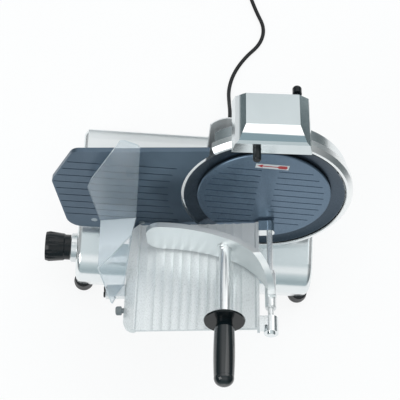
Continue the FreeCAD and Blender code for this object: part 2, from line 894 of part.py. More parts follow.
def make_gauge_plate():
    body = new_body("gauge")
    sketch = sketch_on(body, "XY", "-plate_thickness")
    arc = value(plate_edge_radius)
    right = value(plate_right)
    bottom = value(plate_bottom)
    high = math.sqrt(arc * arc - right * right)
    low = math.sqrt(arc * arc - bottom * bottom)
    apex_height = 8
    outline(sketch, [
        (f"plate_head_inset - {plate_apex}", plate_top_left),
        (f"-{plate_right}", plate_top_right),
        (f"-{plate_right}", high),
        (-low, f"-{plate_bottom}", -arc, 0),
        (f"plate_foot_inset - {plate_apex}", f"-{plate_bottom}"),
        (f"-{plate_apex}", apex_height),
    ])
    pad(body, sketch, "plate_thickness")

    def corner_place(edge):
        """Place of an edge that stands on the plate's left end, or None."""
        points = [vertex.Point for vertex in edge.Vertexes]
        flat = len(points) == 2 and (points[0] - points[1]).cross(AXIS_Z).Length < 1e-3
        return points[0] if flat and points[0].x < -arc - 1 else None

    def upper_corner(edge):
        place = corner_place(edge)
        return place is not None and place.y > -bottom / 2

    def foot_corner(edge):
        place = corner_place(edge)
        return place is not None and place.y < 1 - bottom

    dress(body, "Fillet", "plate_corner", upper_corner)
    dress(body, "Fillet", "plate_foot_corner", foot_corner)
    grooves = sketch_on(body, "XY", "-groove_depth")
    apex = value(plate_apex)
    upper_slope = value("-plate_head_inset") / (value(plate_top_left) - apex_height)
    lower_slope = value("-plate_foot_inset") / (-bottom - apex_height)
    first_groove = value(f"{plate_top_right} - plate_groove_fall")
    margin = value("plate_groove_margin")
    right_reach = arc + 21
    half = value("groove_width / 2")
    for number in range(9):
        height = first_groove - value("plate_groove_pitch") * number
        slope = upper_slope if height > apex_height else lower_slope
        start = margin - apex - slope * (height - apex_height)
        end = -math.sqrt(right_reach * right_reach - height * height)
        low_side = height - half
        high_side = height + half
        outline(grooves, [(start, low_side), (end, low_side), (end, high_side), (start, high_side)])
    pocket(body, grooves, "groove_depth + 1", reverse=True)
    holes = sketch_on(body, "XY", "-plate_thickness - 1")
    sinks = sketch_on(body, "XY", "-plate_screw_sink")
    for place in plate_screws():
        circle(holes, place.x, place.y, "plate_screw_radius + 0.1")
        circle(sinks, place.x, place.y, "plate_screw_head + 0.1")
    pocket(body, holes, "plate_thickness + 2", reverse=True)
    pocket(body, sinks, "plate_screw_sink + 1", reverse=True)
    keep(body, "gauge_plate", BLADE)


def plate_screws():
    """Centres of the two screws that hold the plate to its bracket."""
    return [at(f"{side}38 - {stem_across}", f"19 - {plate_bottom}", 0) for side in ("-", "")]


def make_gauge_screws():
    top = -0.4
    head_low = "0.05 - plate_screw_sink"
    screw = turned([
        (0, top), ("plate_screw_head", top), ("plate_screw_head", head_low), ("plate_screw_radius", head_low),
        ("plate_screw_radius", -20), (0, -20),
    ])
    moulded("gauge_screws", copies(screw, plate_screws()), BLADE)


def cam_centre():
    """The dial shaft's axis, seen in the blade's frame."""
    return BLADE.inverse().multVec(at(0, "-dial_depth", "dial_height"))


def make_gauge_bracket():
    back = "-plate_thickness"
    pin = cam_centre() + at(0, 0, "-cam_start")
    pad_plate = brick(f"-{stem_across} - 48", f"4 - {plate_bottom}", f"{back} - 10", 96, 30, 10)
    web_low = f"-{stem_drop} - 10"
    web = brick(f"-{stem_across} - 12", web_low, f"{back} - 34", 24, f"25 - {plate_bottom} - ({web_low})", 34)
    stem_end = at(f"-{stem_across}", f"-{stem_drop}", f"{back} - 8 - stem_length")
    stem = rod("stem_radius", "stem_length", stem_end)
    lug_thickness = 8
    lug_x = f"-{stem_across} - 12"
    lug_low = pin.y - 6
    lug = brick(lug_x, lug_low, pin.z - 14, lug_thickness, value(f"6 - {stem_drop}") - lug_low,
                value(back) - pin.z + 14)
    peg = rod("cam_pin_radius", 10, at(f"{lug_x} - 9", pin.y, pin.z), AXIS_X)
    bracket = pad_plate.fuse([web, stem, lug, peg])
    for place in plate_screws():
        bracket = bracket.cut(rod("plate_screw_radius + shaft_gap", 20, place + Vector(0, 0, -22)))
    moulded("gauge_bracket", bracket.removeSplitter(), BLADE)


def gauge_guide():
    """Bored block below the base's top, in which the gauge's stem slides."""
    start = "1 - plate_thickness - stem_length"
    guide = brick(f"-{stem_across} - 17", f"-{stem_drop} - 13", start, 34, 40, 44)
    under = brick(-400, -400, -100, 800, 800, f"{base_top} - base_wall + 100")
    under.Placement = BLADE.inverse().multiply(under.Placement)
    guide = guide.common(under)
    bore_end = at(f"-{stem_across}", f"-{stem_drop}", f"{start} - 5")
    guide = guide.cut(rod("stem_radius + shaft_gap", 60, bore_end))
    guide.Placement = BLADE.multiply(guide.Placement)
    return guide


def make_cam():
    """Scroll disc: its groove moves the stem's pin away from the shaft as the dial turns."""
    thickness = value("cam_thickness")
    disc = rod("cam_radius", thickness, Vector(), AXIS_X)
    sweep = math.radians(value("cam_sweep"))
    tilt = math.radians(value("blade_tilt"))
    half_width = value("cam_pin_radius") + 0.4
    groove_depth = 5
    steps = 40
    run_on = 4
    sides = []
    for offset in (-half_width, half_width):
        points = []
        for step in range(-run_on, steps + run_on):
            turn = sweep * step / steps
            radius = value("cam_start") + value("gauge_travel") * turn / sweep + offset
            angle = -tilt - turn
            points.append(Vector(0, radius * math.cos(angle), radius * math.sin(angle)))
        curve = Part.BSplineCurve()
        curve.interpolate(points)
        sides.append((curve, points))
    inner, outer = sides
    edges = [
        inner[0].toShape(),
        Part.makeLine(inner[1][-1], outer[1][-1]),
        outer[0].toShape(),
        Part.makeLine(outer[1][0], inner[1][0]),
    ]
    slot = Part.Face(Part.Wire(Part.__sortEdges__(edges))).extrude(Vector(2 * groove_depth, 0, 0))
    slot.translate(Vector(thickness - groove_depth, 0, 0))
    shaft_length = value(f"{cam_back} + base_length / 2 + dial_width + 12")
    shaft = rod("knob_shaft_radius", shaft_length, Vector(-shaft_length, 0, 0), AXIS_X)
    cam = disc.cut(slot).fuse(shaft).removeSplitter()
    cam.translate(at(cam_back, "-dial_depth", "dial_height"))
    moulded("dial_cam", cam)


def make_dial():
    bore = "knob_shaft_radius + 0.3"
    ring = turned([
        (bore, 0), ("dial_radius", 0), ("dial_radius", "dial_width - 2"), ("dial_radius - 3", "dial_width"),
        (bore, "dial_width"),
    ])
    place = Placement(at("-base_length / 2", "-dial_depth", "dial_height"), Rotation(AXIS_Y, -90))
    moulded("dial_ring", ring, place)
    length = "knob_length"
    bore = "knob_shaft_radius + 0.03"
    bore_depth = 14
    neck_length = 9
    knob = turned([
        (bore, 0), ("knob_neck_radius", 0), ("knob_neck_radius", neck_length),
        ("knob_neck_radius + 1.5", neck_length + 2), ("knob_radius", f"{length} - 6"),
        ("knob_radius - 1.5", length), ("knob_radius - 8", length), ("knob_radius - 9", f"{length} - 2"),
        (0, f"{length} - 2"), (0, bore_depth), (bore, bore_depth),
    ])
    flute_radius = 4
    circle_radius = value("knob_radius") + 0.55 * flute_radius
    count = 12
    for number in range(count):
        angle = 2 * math.pi * number / count
        centre = Vector(circle_radius * math.cos(angle), circle_radius * math.sin(angle), neck_length + 3)
        knob = knob.cut(rod(flute_radius, length, centre))
    back = "-base_length / 2 - dial_width - seat_gap"
    place = Placement(at(back, "-dial_depth", "dial_height"), Rotation(AXIS_Y, -90))
    moulded("gauge_knob", knob, place)


# Switch on the operator's end of the base


def make_switch():
    left = "-base_length / 2"
    width = "stop_depth - start_depth + 28"
    plate = brick(f"{left} - 2", "start_depth - 14", "button_height - 16", 2, width, 32)
    stem = "switch_stem_radius"
    head_radius = "switch_head_radius"
    collar = 8.5
    top = 14
    for name, depth in (("start_button", "start_depth"), ("stop_button", "stop_depth")):
        centre = at(f"{left} - 5", depth, "button_height")
        plate = plate.cut(rod("switch_head_radius + 0.4", 10, centre, AXIS_X))
        button = turned([
            (0, 0), (stem, 0), (stem, collar), (head_radius, collar), (head_radius, top - 1),
            (f"{head_radius} - 1", top), (0, top),
        ])
        place = Placement(at(f"{left} + 5", depth, "button_height"), Rotation(AXIS_Y, -90))
        moulded(name, button, place)
    moulded("switch_plate", plate)


# Carriage: slide bar, arm, tray and guard


bar_length = "base_length - 2 * base_wall"


def make_slide():
    bar = drum("bar", f"-({bar_length}) / 2 + 6", "slide_bar_depth", "slide_bar_height", "slide_bar_radius",
               f"{bar_length} - 12", ALONG_X, WORLD)
    keep(bar, "slide_bar")
    thickness = 14
    across = 28
    inner = f"({bar_length}) / 2 - {thickness}"
    piece = brick(inner, f"slide_bar_depth - {across} / 2", "slide_bar_height - 12", thickness, across, across)
    seat = rod("slide_bar_radius + 0.02", 8, at(inner, "slide_bar_depth", "slide_bar_height"), AXIS_X)
    piece = piece.cut(seat)
    moulded("inner_brackets", Part.Compound([piece, piece.mirror(Vector(), AXIS_X), gauge_guide()]))
    rail = block("rail", "-base_length / 2 + 35", "-base_depth / 2 + base_wall", "rail_low",
                 "base_length - 70", "rail_depth", "rail_height", WORLD)
    keep(rail, "guide_rail")


def above_tray_floor():
    """Room above the tray's underside."""
    space = brick(-600, "-tray_drop - tray_thickness", -100, 1200, 600, 600)
    space.Placement = TRAY.multiply(space.Placement)
    return space


def make_arm():
    half = value("arm_width / 2")
    centre = value(arm_x)
    bar_y = value("slide_bar_depth")
    inner_face = value("-base_depth / 2 + base_wall")
    front = value("-base_depth / 2 - arm_clearance - upright_thickness")
    low = value("arm_low")
    high = low + value("arm_thickness")
    beam = Part.makeBox(2 * half, bar_y + 16 - front, high - low, Vector(centre - half, front, low))
    long = value("bush_block_length")
    house = brick(centre - long / 2, bar_y - 15, high, long, 30, f"slide_bar_height + 15 - {high}")
    upright = Part.makeBox(2 * half, value("upright_thickness"), 300, Vector(centre - half, front, low))
    roller_z = value("rail_low + rail_height + roller_radius + seat_gap")
    roller_y = inner_face + 2.4
    lug_y = inner_face + value("rail_depth + 1")
    lug = Part.makeBox(26, 6, roller_z + 11 - high, Vector(centre - 13, lug_y, high))
    axle = rod("axle_radius", lug_y - inner_face, Vector(centre, inner_face + 1.2, roller_z), AXIS_Y)
    arm = beam.fuse([house, upright, lug, axle])
    arm = arm.cut(above_tray_floor())
    flange_thickness = 8
    flange = brick("46 - tray_left", f"-tray_drop - tray_thickness - {flange_thickness}", 84,
                   84, flange_thickness, 70)
    flange.Placement = TRAY.multiply(flange.Placement)
    arm = arm.fuse(flange)
    bar_centre = at(centre - long / 2, "slide_bar_depth", "slide_bar_height")
    arm = arm.cut(rod("bush_radius", long, bar_centre, AXIS_X))
    moulded("carriage_arm", arm.removeSplitter())
    bush_length = 22
    bush = rod("bush_radius - 0.02", bush_length, Vector(), AXIS_X)
    bush = bush.cut(rod("slide_bar_radius + shaft_gap", bush_length, Vector(), AXIS_X))
    moulded("slide_bushes", copies(bush, [bar_centre, bar_centre + Vector(long - bush_length, 0, 0)]))
    bore = "axle_radius + shaft_gap"
    rim = "roller_radius"
    roller = turned([(bore, 0), (rim, 0), (rim, "roller_width"), (bore, "roller_width")])
    moulded("guide_roller", roller, Placement(Vector(centre, roller_y, roller_z), ALONG_Y))


def make_tray():
    body = new_body("tray")
    sketch = sketch_on(body, "XY", "tray_back")
    top = "-tray_drop"
    low = "-tray_drop - tray_thickness"
    corners = [
        ("-tray_left - skirt_out + 3", "-tray_drop - skirt_fall - 2"),
        ("-tray_left + 4", low),
        ("-tray_right", low),
        ("-tray_right", "-tray_drop - 14"),
        ("-tray_right + 4", "-tray_drop - 14"),
        ("-tray_right + 4", "-tray_drop + rim_height"),
        ("-tray_right", "-tray_drop + rim_height"),
        ("-tray_right - 3", top),
        ("-flute_edge", top),
    ]
    count = int(value("(tray_left - flute_edge - 8) / flute_pitch"))
    for number in range(count):
        right = f"-flute_edge - flute_pitch * {number}"
        corners.append((f"{right} - flute_pitch", top, f"{right} - flute_pitch / 2", f"{top} - flute_depth"))
    corners += [
        ("-tray_left + 3", top),
        ("-tray_left + 1", "-tray_drop + rim_height"),
        ("-tray_left - 1", "-tray_drop + rim_height"),
        ("-tray_left - skirt_out", "-tray_drop - skirt_fall"),
    ]
    outline(sketch, corners)
    pad(body, sketch, "tray_front - tray_back")
    corner = sketch_on(body, "XZ")
    outer = "-tray_left - skirt_out"
    outline(corner, [
        (outer + " - 5", "tray_front + 5"),
        (outer + " - 5", "tray_front - skirt_corner"),
        (outer, "tray_front - skirt_corner"),
        (outer + " + skirt_corner / 2", "tray_front",
         outer + " + 3.5", "tray_front - skirt_corner * 0.4"),
        (outer + " + skirt_corner / 2", "tray_front + 5"),
    ])
    pocket(body, corner, 400, "Symmetric")
    keep(body, "carriage_tray", TRAY)


# Pusher: rod, blocks, sleeve, arm and handle


def make_rod():
    level = "-tray_drop"
    start = "tray_back + 2.5"
    pole = drum("rod", "rod_across", level, start, "rod_radius", "tray_front + 7 - tray_back", frame=TRAY)
    keep(pole, "pusher_rod")
    hole = rod("rod_radius + 0.03", 300, at("rod_across", level, start))
    edge = "4 - tray_right"
    blocks = (
        ("rod_block_rear", "tray_back + 0.7", 19, 19, 8),
        ("rod_block_front", "tray_front - 16", 16, 26, 11),
    )
    for name, back, length, round_length, radius in blocks:
        piece = brick(edge, f"{level} - 0.9 * {radius}", back, f"rod_across - ({edge})", 1.8 * radius, length)
        piece = piece.fuse(rod(radius, round_length, at("rod_across", level, back))).cut(hole)
        if name == "rod_block_front":
            cap = turned([(0, 0), (6.5, 0), (6.5, 2.4), (5.5, 3.2), (0, 3.2)])
            piece = piece.fuse(cap.translated(at("rod_across", level, "tray_front + 10")))
        moulded(name, piece.removeSplitter(), TRAY)


def bent_strip(free, bends, half, height):
    """Upright strip that follows tangent arcs of radius, first and last heading from its free end."""
    near = []
    far = []
    start = free
    for radius, first, last in bends:
        turn = math.radians(first)
        centre = start + Vector(-radius * math.sin(turn), 0, radius * math.cos(turn))
        for side, reach in ((near, radius + half), (far, radius - half)):
            points = []
            for angle in (first, (first + last) / 2, last):
                turn = math.radians(angle)
                points.append(centre + Vector(reach * math.sin(turn), 0, -reach * math.cos(turn)))
            side.append(points)
        turn = math.radians(last)
        start = centre + Vector(radius * math.sin(turn), 0, -radius * math.cos(turn))
    edges = []
    for side in (near, far):
        for points in side:
            edges.append(Part.Arc(*points).toShape())
    edges.append(Part.makeLine(near[0][0], far[0][0]))
    edges.append(Part.makeLine(near[-1][2], far[-1][2]))
    plan = Part.Face(Part.Wire(Part.__sortEdges__(edges)))
    return plan.extrude(Vector(0, -height, 0))


def make_pusher_arm():
    level = value("-tray_drop")
    low = level + value("pusher_low")
    high = level + value("pusher_high")
    left = value("-pusher_left")
    free = Vector(left, high, value("pusher_near"))
    strip = bent_strip(free, ((300, -1.5, 25), (113, 25, 75)), value("pusher_thickness") / 2, high - low)
    bend = value("pusher_corner")
    left -= 1
    right = 60
    inner = bend * DIAGONAL
    side_view = Part.Wire([
        Part.makeLine(Vector(right, low, 0), Vector(right, high, 0)),
        Part.makeLine(Vector(right, high, 0), Vector(left + bend, high, 0)),
        Part.Arc(Vector(left + bend, high, 0), Vector(left + inner, high - inner, 0),
                 Vector(left, high - bend, 0)).toShape(),
        Part.makeLine(Vector(left, high - bend, 0), Vector(left, low + bend, 0)),
        Part.Arc(Vector(left, low + bend, 0), Vector(left + inner, low + inner, 0),
                 Vector(left + bend, low, 0)).toShape(),
        Part.makeLine(Vector(left + bend, low, 0), Vector(right, low, 0)),
    ])
    strip = strip.common(Part.Face(side_view).extrude(Vector(0, 0, 300)))
    fall_start = value("sleeve_start + 4")
    fall_end = fall_start + 34
    sleeve_top = level + value("sleeve_radius")
    fall = Part.Face(Part.Wire([
        Part.makeLine(Vector(-40, high + 5, 200), Vector(-40, high + 5, fall_start)),
        Part.makeLine(Vector(-40, high + 5, fall_start), Vector(-40, high, fall_start)),
        Part.Arc(Vector(-40, high, fall_start), Vector(-40, high - 16, fall_start + 22),
                 Vector(-40, sleeve_top, fall_end)).toShape(),
        Part.makeLine(Vector(-40, sleeve_top, fall_end), Vector(-40, sleeve_top, 200)),
        Part.makeLine(Vector(-40, sleeve_top, 200), Vector(-40, high + 5, 200)),
    ])).extrude(Vector(100, 0, 0))
    strip = strip.cut(fall)
    sleeve = rod("sleeve_radius", "sleeve_end - sleeve_start", at("rod_across", level, "sleeve_start"))
    foot = brick("rod_across - 4", level, "sleeve_start + 10", 12, 14, 38)
    seat = at("-handle_across", f"{level} + handle_rise", "handle_start")
    boss_length = 14
    boss = rod("handle_radius + 2.5", boss_length, seat - Vector(0, 0, boss_length))
    arm = strip.fuse([sleeve, foot, boss]).removeSplitter()
    arm = arm.cut(rod("rod_radius + bush_wall + 2 * shaft_gap", 120, at("rod_across", level, 70)))
    arm = arm.cut(rod("handle_collar_radius + seat_gap", 40, seat))
    moulded("pusher_arm", arm, TRAY)


def make_pusher_bush():
    length = "sleeve_end - sleeve_start"
    bore = "rod_radius + shaft_gap"
    outside = "rod_radius + bush_wall"
    flange = f"{outside} + 1.6"
    bush = turned([
        (bore, -1.5), (flange, -1.5), (flange, -0.1), (outside, -0.1), (outside, f"{length} + 0.1"),
        (flange, f"{length} + 0.1"), (flange, f"{length} + 1.5"), (bore, f"{length} + 1.5"),
    ])
    bush.translate(at("rod_across", "-tray_drop", "sleeve_start"))
    moulded("pusher_bush", bush, TRAY)


def make_handle():
    centre = at("-handle_across", "handle_rise - tray_drop", 0)
    collar = "handle_collar_radius"
    shaft = turned([
        (0, "handle_start"), (collar, "handle_start"), (collar, "handle_start + 4"),
        ("handle_radius", "handle_start + 5"), ("handle_radius", "disc_start"), (0, "disc_start"),
    ])
    shaft.translate(centre)
    moulded("handle_shaft", shaft, TRAY)
    low = value("disc_start")
    top = value("disc_start + disc_thickness")
    wide = value("disc_radius")
    big = value("grip_radius")
    neck = 0.75 * big
    end = top + value("grip_length")
    flat = 3
    corners = [(0, low), (wide - 1.5, low), (wide, low + 1.5), (wide - 1, top), (neck, top), (neck, top + 5),
               (big - 1, top + 13)]
    points = [Vector(radius, 0, height) for radius, height in corners]
    edges = Part.makePolygon(points).Edges
    shoulder = Vector(big - 1.2, 0, end - 13)
    edges += [
        Part.Arc(points[-1], Vector(big, 0, top + 45), shoulder).toShape(),
        Part.Arc(shoulder, Vector(0.72 * big, 0, end - 3.6), Vector(flat, 0, end)).toShape(),
        Part.makeLine(Vector(flat, 0, end), Vector(0, 0, end)),
        Part.makeLine(Vector(0, 0, end), points[0]),
    ]
    grip = Part.Face(Part.Wire(edges)).revolve(Vector(), AXIS_Z, 360)
    grip.translate(centre)
    moulded("handle_grip", grip, TRAY)


def panel(corners, thickness):
    """Flat panel with its corners in the middle of its thickness."""
    face = Part.Face(Part.makePolygon(corners + corners[:1]))
    normal = face.normalAt(0, 0)
    face.translate(normal * (-thickness / 2))
    return face.extrude(normal * thickness)


def on_plane(first, second, third, point):
    """The point of the plane through three points, at a given y and z."""
    normal = (second - first).cross(third - first)
    along = (normal.y * (point.y - first.y) + normal.z * (point.z - first.z)) / normal.x
    return Vector(first.x - along, point.y, point.z)


def make_guard():
    level = value("-tray_drop")
    thickness = value("guard_thickness")
    flat = value("guard_near")
    side = value("-tray_left")
    front = value("tray_front")
    fold_right = Vector(side - 2, level + 36, flat)
    fold_left = Vector(side - 59, level + 31, flat)
    low_left = Vector(side - 51.5, level + 60, front - 73)
    low_right = fold_right + (low_left - fold_left) * 0.36 + (fold_left - fold_right) * 0.12
    tip = Vector(side - 40, level - 22, front - 62)
    back = front - 93
    inner = on_plane(low_left, low_right, tip, Vector(0, level - 15.7, back))
    rim = ((-6, 224), (1, 225), (19, 214), (22, 208))
    upright = [Vector(side + across, level + rise, flat) for across, rise in rim]
    upright += [fold_right, fold_left]
    upright += [Vector(side + across, level + rise, flat) for across, rise in ((-68, 118), (-60, 137))]
    pieces = [panel(upright, thickness), panel([fold_right, fold_left, low_left, low_right], thickness),
              panel([low_right, low_left, tip, inner], thickness)]
    for start, end in ((fold_right, fold_left), (low_right, low_left)):
        reach = end - start
        pieces.append(Part.makeCylinder(thickness / 2, reach.Length, start, reach))
    shield = pieces[0].fuse(pieces[1:]).removeSplitter()
    left = side - 50
    low = level - 24
    height = 8
    width = 22
    gap = value("seat_gap")
    skirt = value("-tray_left - skirt_out")
    bar = Part.makeBox(skirt - left, height, width, Vector(left, low, back))
    clear = Part.makeBox(60, height + 2 * gap, width + 2 * gap, Vector(left - gap, low - gap, back - gap))
    moulded("hand_guard", shield.cut(clear), TRAY)
    moulded("guard_bracket", bar, TRAY)
    head_length = 3.2
    head = rod(4.5, head_length, Vector(left - head_length, low + height / 2, back + 6), AXIS_X)
    moulded("guard_bolts", copies(head, [Vector(), Vector(0, 0, 10)]), TRAY)
    knob = turned([(0, 0), (4, 0), (4, 3), (7, 4), (7, 11), (5.5, 12.5), (0, 12.5)])
    place = Placement(Vector(skirt, level - 20.5, front - 47), Rotation(AXIS_Y, -90))
    moulded("tray_side_knob", knob, TRAY.multiply(place))


def make_deflector():
    body = new_body("deflector")
    sketch = sketch_on(body, "XZ")
    back = value("-housing_back - case_depth")
    flat_end = -value("blade_pulley_radius + case_reach") - 2
    tip = -93.5
    sheet_thickness = 2
    outline(sketch, [
        (-24, back), (-24, back - sheet_thickness), (flat_end, back - sheet_thickness),
        (tip, back + 13, -83, back + 4),
        (tip + 1.5, back + 14.3),
        (flat_end, back, -81.8, back + 5.7),
    ])
    top = "(blade_radius - 18)"
    back_level = f"(blade_height - {base_top} - (housing_back + case_depth) * sin(blade_tilt))"
    fall = f"({back_level} / cos(blade_tilt) - 15.1)"
    pad(body, sketch, f"{top} + {fall}")
    low = body.Shape.BoundBox.YMin
    keep(body, "slice_deflector", BLADE.multiply(Placement(Vector(0, -value(fall) - low, 0), Rotation())))


def sharpener_hood(shrink, below):
    """The cover's outer form, or the room inside it when shrunk by the wall."""
    low = value(sharpener_low)
    half_low = value("sharpener_half_low") - shrink
    half_top = value("sharpener_half_top") - shrink
    top = value(sharpener_high) - shrink
    front = value("sharpener_front") - shrink
    rear = value("sharpener_rear") - shrink
    waist = low + 19
    far = 200
    across = Part.makePolygon([
        Vector(-half_low, below, -far), Vector(half_low, below, -far), Vector(half_low - 4, waist, -far),
        Vector(half_top - 8, top, -far), Vector(-half_top + 8, top, -far), Vector(-half_low + 4, waist, -far),
        Vector(-half_low, below, -far),
    ])
    along = Part.makePolygon([
        Vector(-far, below, -rear - 12), Vector(-far, top, -rear), Vector(-far, top, 8 - shrink / 2),
        Vector(-far, top - 9, front - 3), Vector(-far, top - 13, front),
        Vector(-far, below, front), Vector(-far, below, -rear - 12),
    ])
    wide = Part.Face(across).extrude(Vector(0, 0, 2 * far))
    return wide.common(Part.Face(along).extrude(Vector(2 * far, 0, 0)))


def wheel_axes():
    """Axes of the front and the rear sharpening stones."""
    return at(-22, f"{sharpener_low} + 7.5", 0), at("post_across + 30", f"{sharpener_low} + 15", 0)


def make_sharpener():
    low = value(sharpener_low)
    high = value(sharpener_high)
    wall = value("sharpener_wall")
    front, rear = wheel_axes()
    post = at("post_across", "bracket_low + 5", "-post_depth")
    post_bore = "post_radius + shaft_gap"
    bracket = brick("post_across - 16", "bracket_low", "-housing_back - bracket_depth", 34, "bracket_height",
                    "bracket_depth")
    bracket = bracket.cut(rod(post_bore, "bracket_height + 10", post - Vector(0, 10, 0), AXIS_Y))
    clamp = at("post_across", "bracket_low + bracket_height * 0.4", "-housing_back - bracket_depth")
    bracket = bracket.cut(rod("clamp_radius + shaft_gap", "bracket_depth / 2 + 6", clamp - Vector(0, 0, 6)))
    moulded("sharpener_bracket", bracket, SHARPENER)
    floor = low + 0.5
    shelf = low + 12
    post_top = low + 10
    moulded("sharpener_post", rod("post_radius", post_top - post.y, post, AXIS_Y), SHARPENER)
    carrier = Part.makeBox(38, shelf - floor, 44.5, Vector(post.x - 22, floor, post.z - 7))
    front_arm = Part.makeBox(21, 18.5, 6, Vector(front.x - 12, floor - 1, -14))
    rear_arm = Part.makeBox(24, 15, 8, Vector(rear.x - 14, low + 6, -24))
    column = Part.makeBox(24, high - wall - shelf, 24, Vector(post.x - 14, shelf, -40))
    carrier = carrier.fuse([front_arm, rear_arm, column])
    carrier = carrier.common(sharpener_hood(wall + value("seat_gap"), low - 6))
    carrier = carrier.cut(rod(post_bore, post_top - floor + 3, at(post.x, floor - 3, post.z), AXIS_Y))
    spindle_bore = value("spindle_radius + shaft_gap")
    for axis in (front, rear):
        carrier = carrier.cut(rod(spindle_bore, 70, axis - Vector(0, 0, 60)))
    moulded("sharpener_carrier", carrier.removeSplitter(), SHARPENER)
    shell = sharpener_hood(0, low).cut(sharpener_hood(wall, low - 6))
    shell = shell.cut(rod("button_radius + 0.4", 40, front + Vector(0, 0, 25)))
    shell = shell.cut(rod("spindle_radius + 0.6", 40, rear - Vector(0, 0, 80)))
    moulded("sharpener_cover", shell, SHARPENER)
    spindle = "spindle_radius"
    button = "button_radius"
    shoulder = 30
    end = 55
    push = turned([
        (0, -18), (spindle, -18), (spindle, shoulder), (button, shoulder), (button, end - 1.5),
        (f"{button} - 1.5", end), (0, end),
    ])
    moulded("front_button", push.translated(front), SHARPENER)
    shoulder = -68
    end = -80
    push = turned([
        (0, -15), (spindle, -15), (spindle, shoulder), (f"{button} + 1", shoulder), (f"{button} + 1", end + 2),
        (button, end), (0, end),
    ])
    moulded("rear_button", push.translated(rear), SHARPENER)
    wide = value("stone_radius")
    stone = turned([(spindle_bore, 10), (wide - 2, 10), (wide, 12.5), (wide, 18), (spindle_bore, 18)])
    moulded("front_stone", stone.translated(front), SHARPENER)
    wide -= 2.5
    stone = turned([(spindle_bore, -46), (wide, -46), (wide, -41), (wide - 1.5, -39), (spindle_bore, -39)])
    moulded("rear_stone", stone.translated(rear), SHARPENER)
    radius = value("clamp_knob_radius")
    back = clamp.z
    stem = "clamp_radius"
    knob = turned([
        (0, back + 6.5), (stem, back + 6.5), (stem, back - 0.3), (9, back - 0.3), (9, back - 4),
        (radius, back - 7), (radius, back - 20), (radius - 1.5, back - 22), (0, back - 22),
    ])
    flutes = 8
    for number in range(flutes):
        angle = 2 * math.pi * number / flutes
        centre = Vector((radius + 2.1) * math.cos(angle), (radius + 2.1) * math.sin(angle), back - 24)
        knob = knob.cut(rod(3.4, 30, centre))
    moulded("clamp_knob", knob.translated(Vector(clamp.x, clamp.y, 0)), SHARPENER)


# Power cord: strain relief, free run on the table, a wound coil and the plug

FLOOR = 3.6
COIL_PITCH = 7.6
COIL_INNER = 25.65
COIL_TURNS = 5.5
ROUTE = [
    (50, 156, 50),
    (50.8, 183, 47),
    (49.5, 211, 21),
    (48.5, 241, FLOOR),
    (56.5, 272, FLOOR),
    (76, 303, FLOOR),
    (102, 329, FLOOR),
    (109, 360, FLOOR),
    (92, 391, FLOOR),
    (78, 424, FLOOR),
    (72, 462, FLOOR),
    (72, 490, FLOOR),
]


def rounded_route(points):
    """Straight runs joined by tangent arcs, and the arcs' radii."""
    edges = []
    radii = []
    start = points[0]
    for number in range(1, len(points) - 1):
        before = points[number] - points[number - 1]
        after = points[number + 1] - points[number]
        turn = before.getAngle(after)
        reach = 0.45 * min(before.Length, after.Length)
        radii.append(reach / math.tan(turn / 2))
        back = points[number] - before.normalize() * reach
        forth = points[number] + after.normalize() * reach
        middle = (back + forth) * 0.5
        inward = middle - points[number]
        radius = radii[-1]
        centre = points[number] + inward.normalize() * math.hypot(radius, reach)
        through = centre + (points[number] - centre).normalize() * radius
        edges.append(Part.makeLine(start, back))
        edges.append(Part.Arc(back, through, forth).toShape())
        start = forth
    edges.append(Part.makeLine(start, points[-1]))
    return Part.Wire(edges), radii


def coil_point(turn):
    """A spiral in and out, which climbs one layer in the half turn where it reverses."""
    quarter = math.pi / 2
    if abs(turn) < quarter:
        radius = COIL_INNER + COIL_PITCH / (2 * math.pi) * (turn * turn / math.pi + math.pi / 4)
        height = COIL_PITCH / 2 * (1 + math.sin(turn))
    else:
        radius = COIL_INNER + COIL_PITCH * abs(turn) / (2 * math.pi)
        height = 0 if turn < 0 else COIL_PITCH
    return Vector(radius * math.cos(turn), radius * math.sin(turn), height)


def coil_heading(turn, side):
    step = 1e-4 * side
    return (coil_point(turn + step) - coil_point(turn)).normalize() * side


def arc_from(start, heading, end):
    """Arc that leaves start along a heading and reaches end."""
    chord = end - start
    lean = heading.getAngle(chord)
    middle = (start + end) * 0.5
    outward = heading - chord * (heading.dot(chord) / chord.dot(chord))
    if outward.Length < 1e-9:
        return Part.makeLine(start, end)
    through = middle + outward.normalize() * (chord.Length / 2 * math.tan(lean / 2))
    return Part.Arc(start, through, end).toShape()


def biarc(start, leaving, end, arriving):
    span = end - start
    both = leaving + arriving
    slack = 2 * (1 - leaving.dot(arriving))
    along = span.dot(both)
    reach = (-along + math.sqrt(along * along + slack * span.dot(span))) / slack
    middle = (start + leaving * reach + end - arriving * reach) * 0.5
    first = arc_from(start, leaving, middle)
    second = arc_from(end, arriving * -1, middle)
    return [first, second]


def tube(wire, start, heading):
    profile = Part.Wire(Part.makeCircle(value("cord_radius"), start, heading))
    return wire.makePipeShell([profile], True, False)


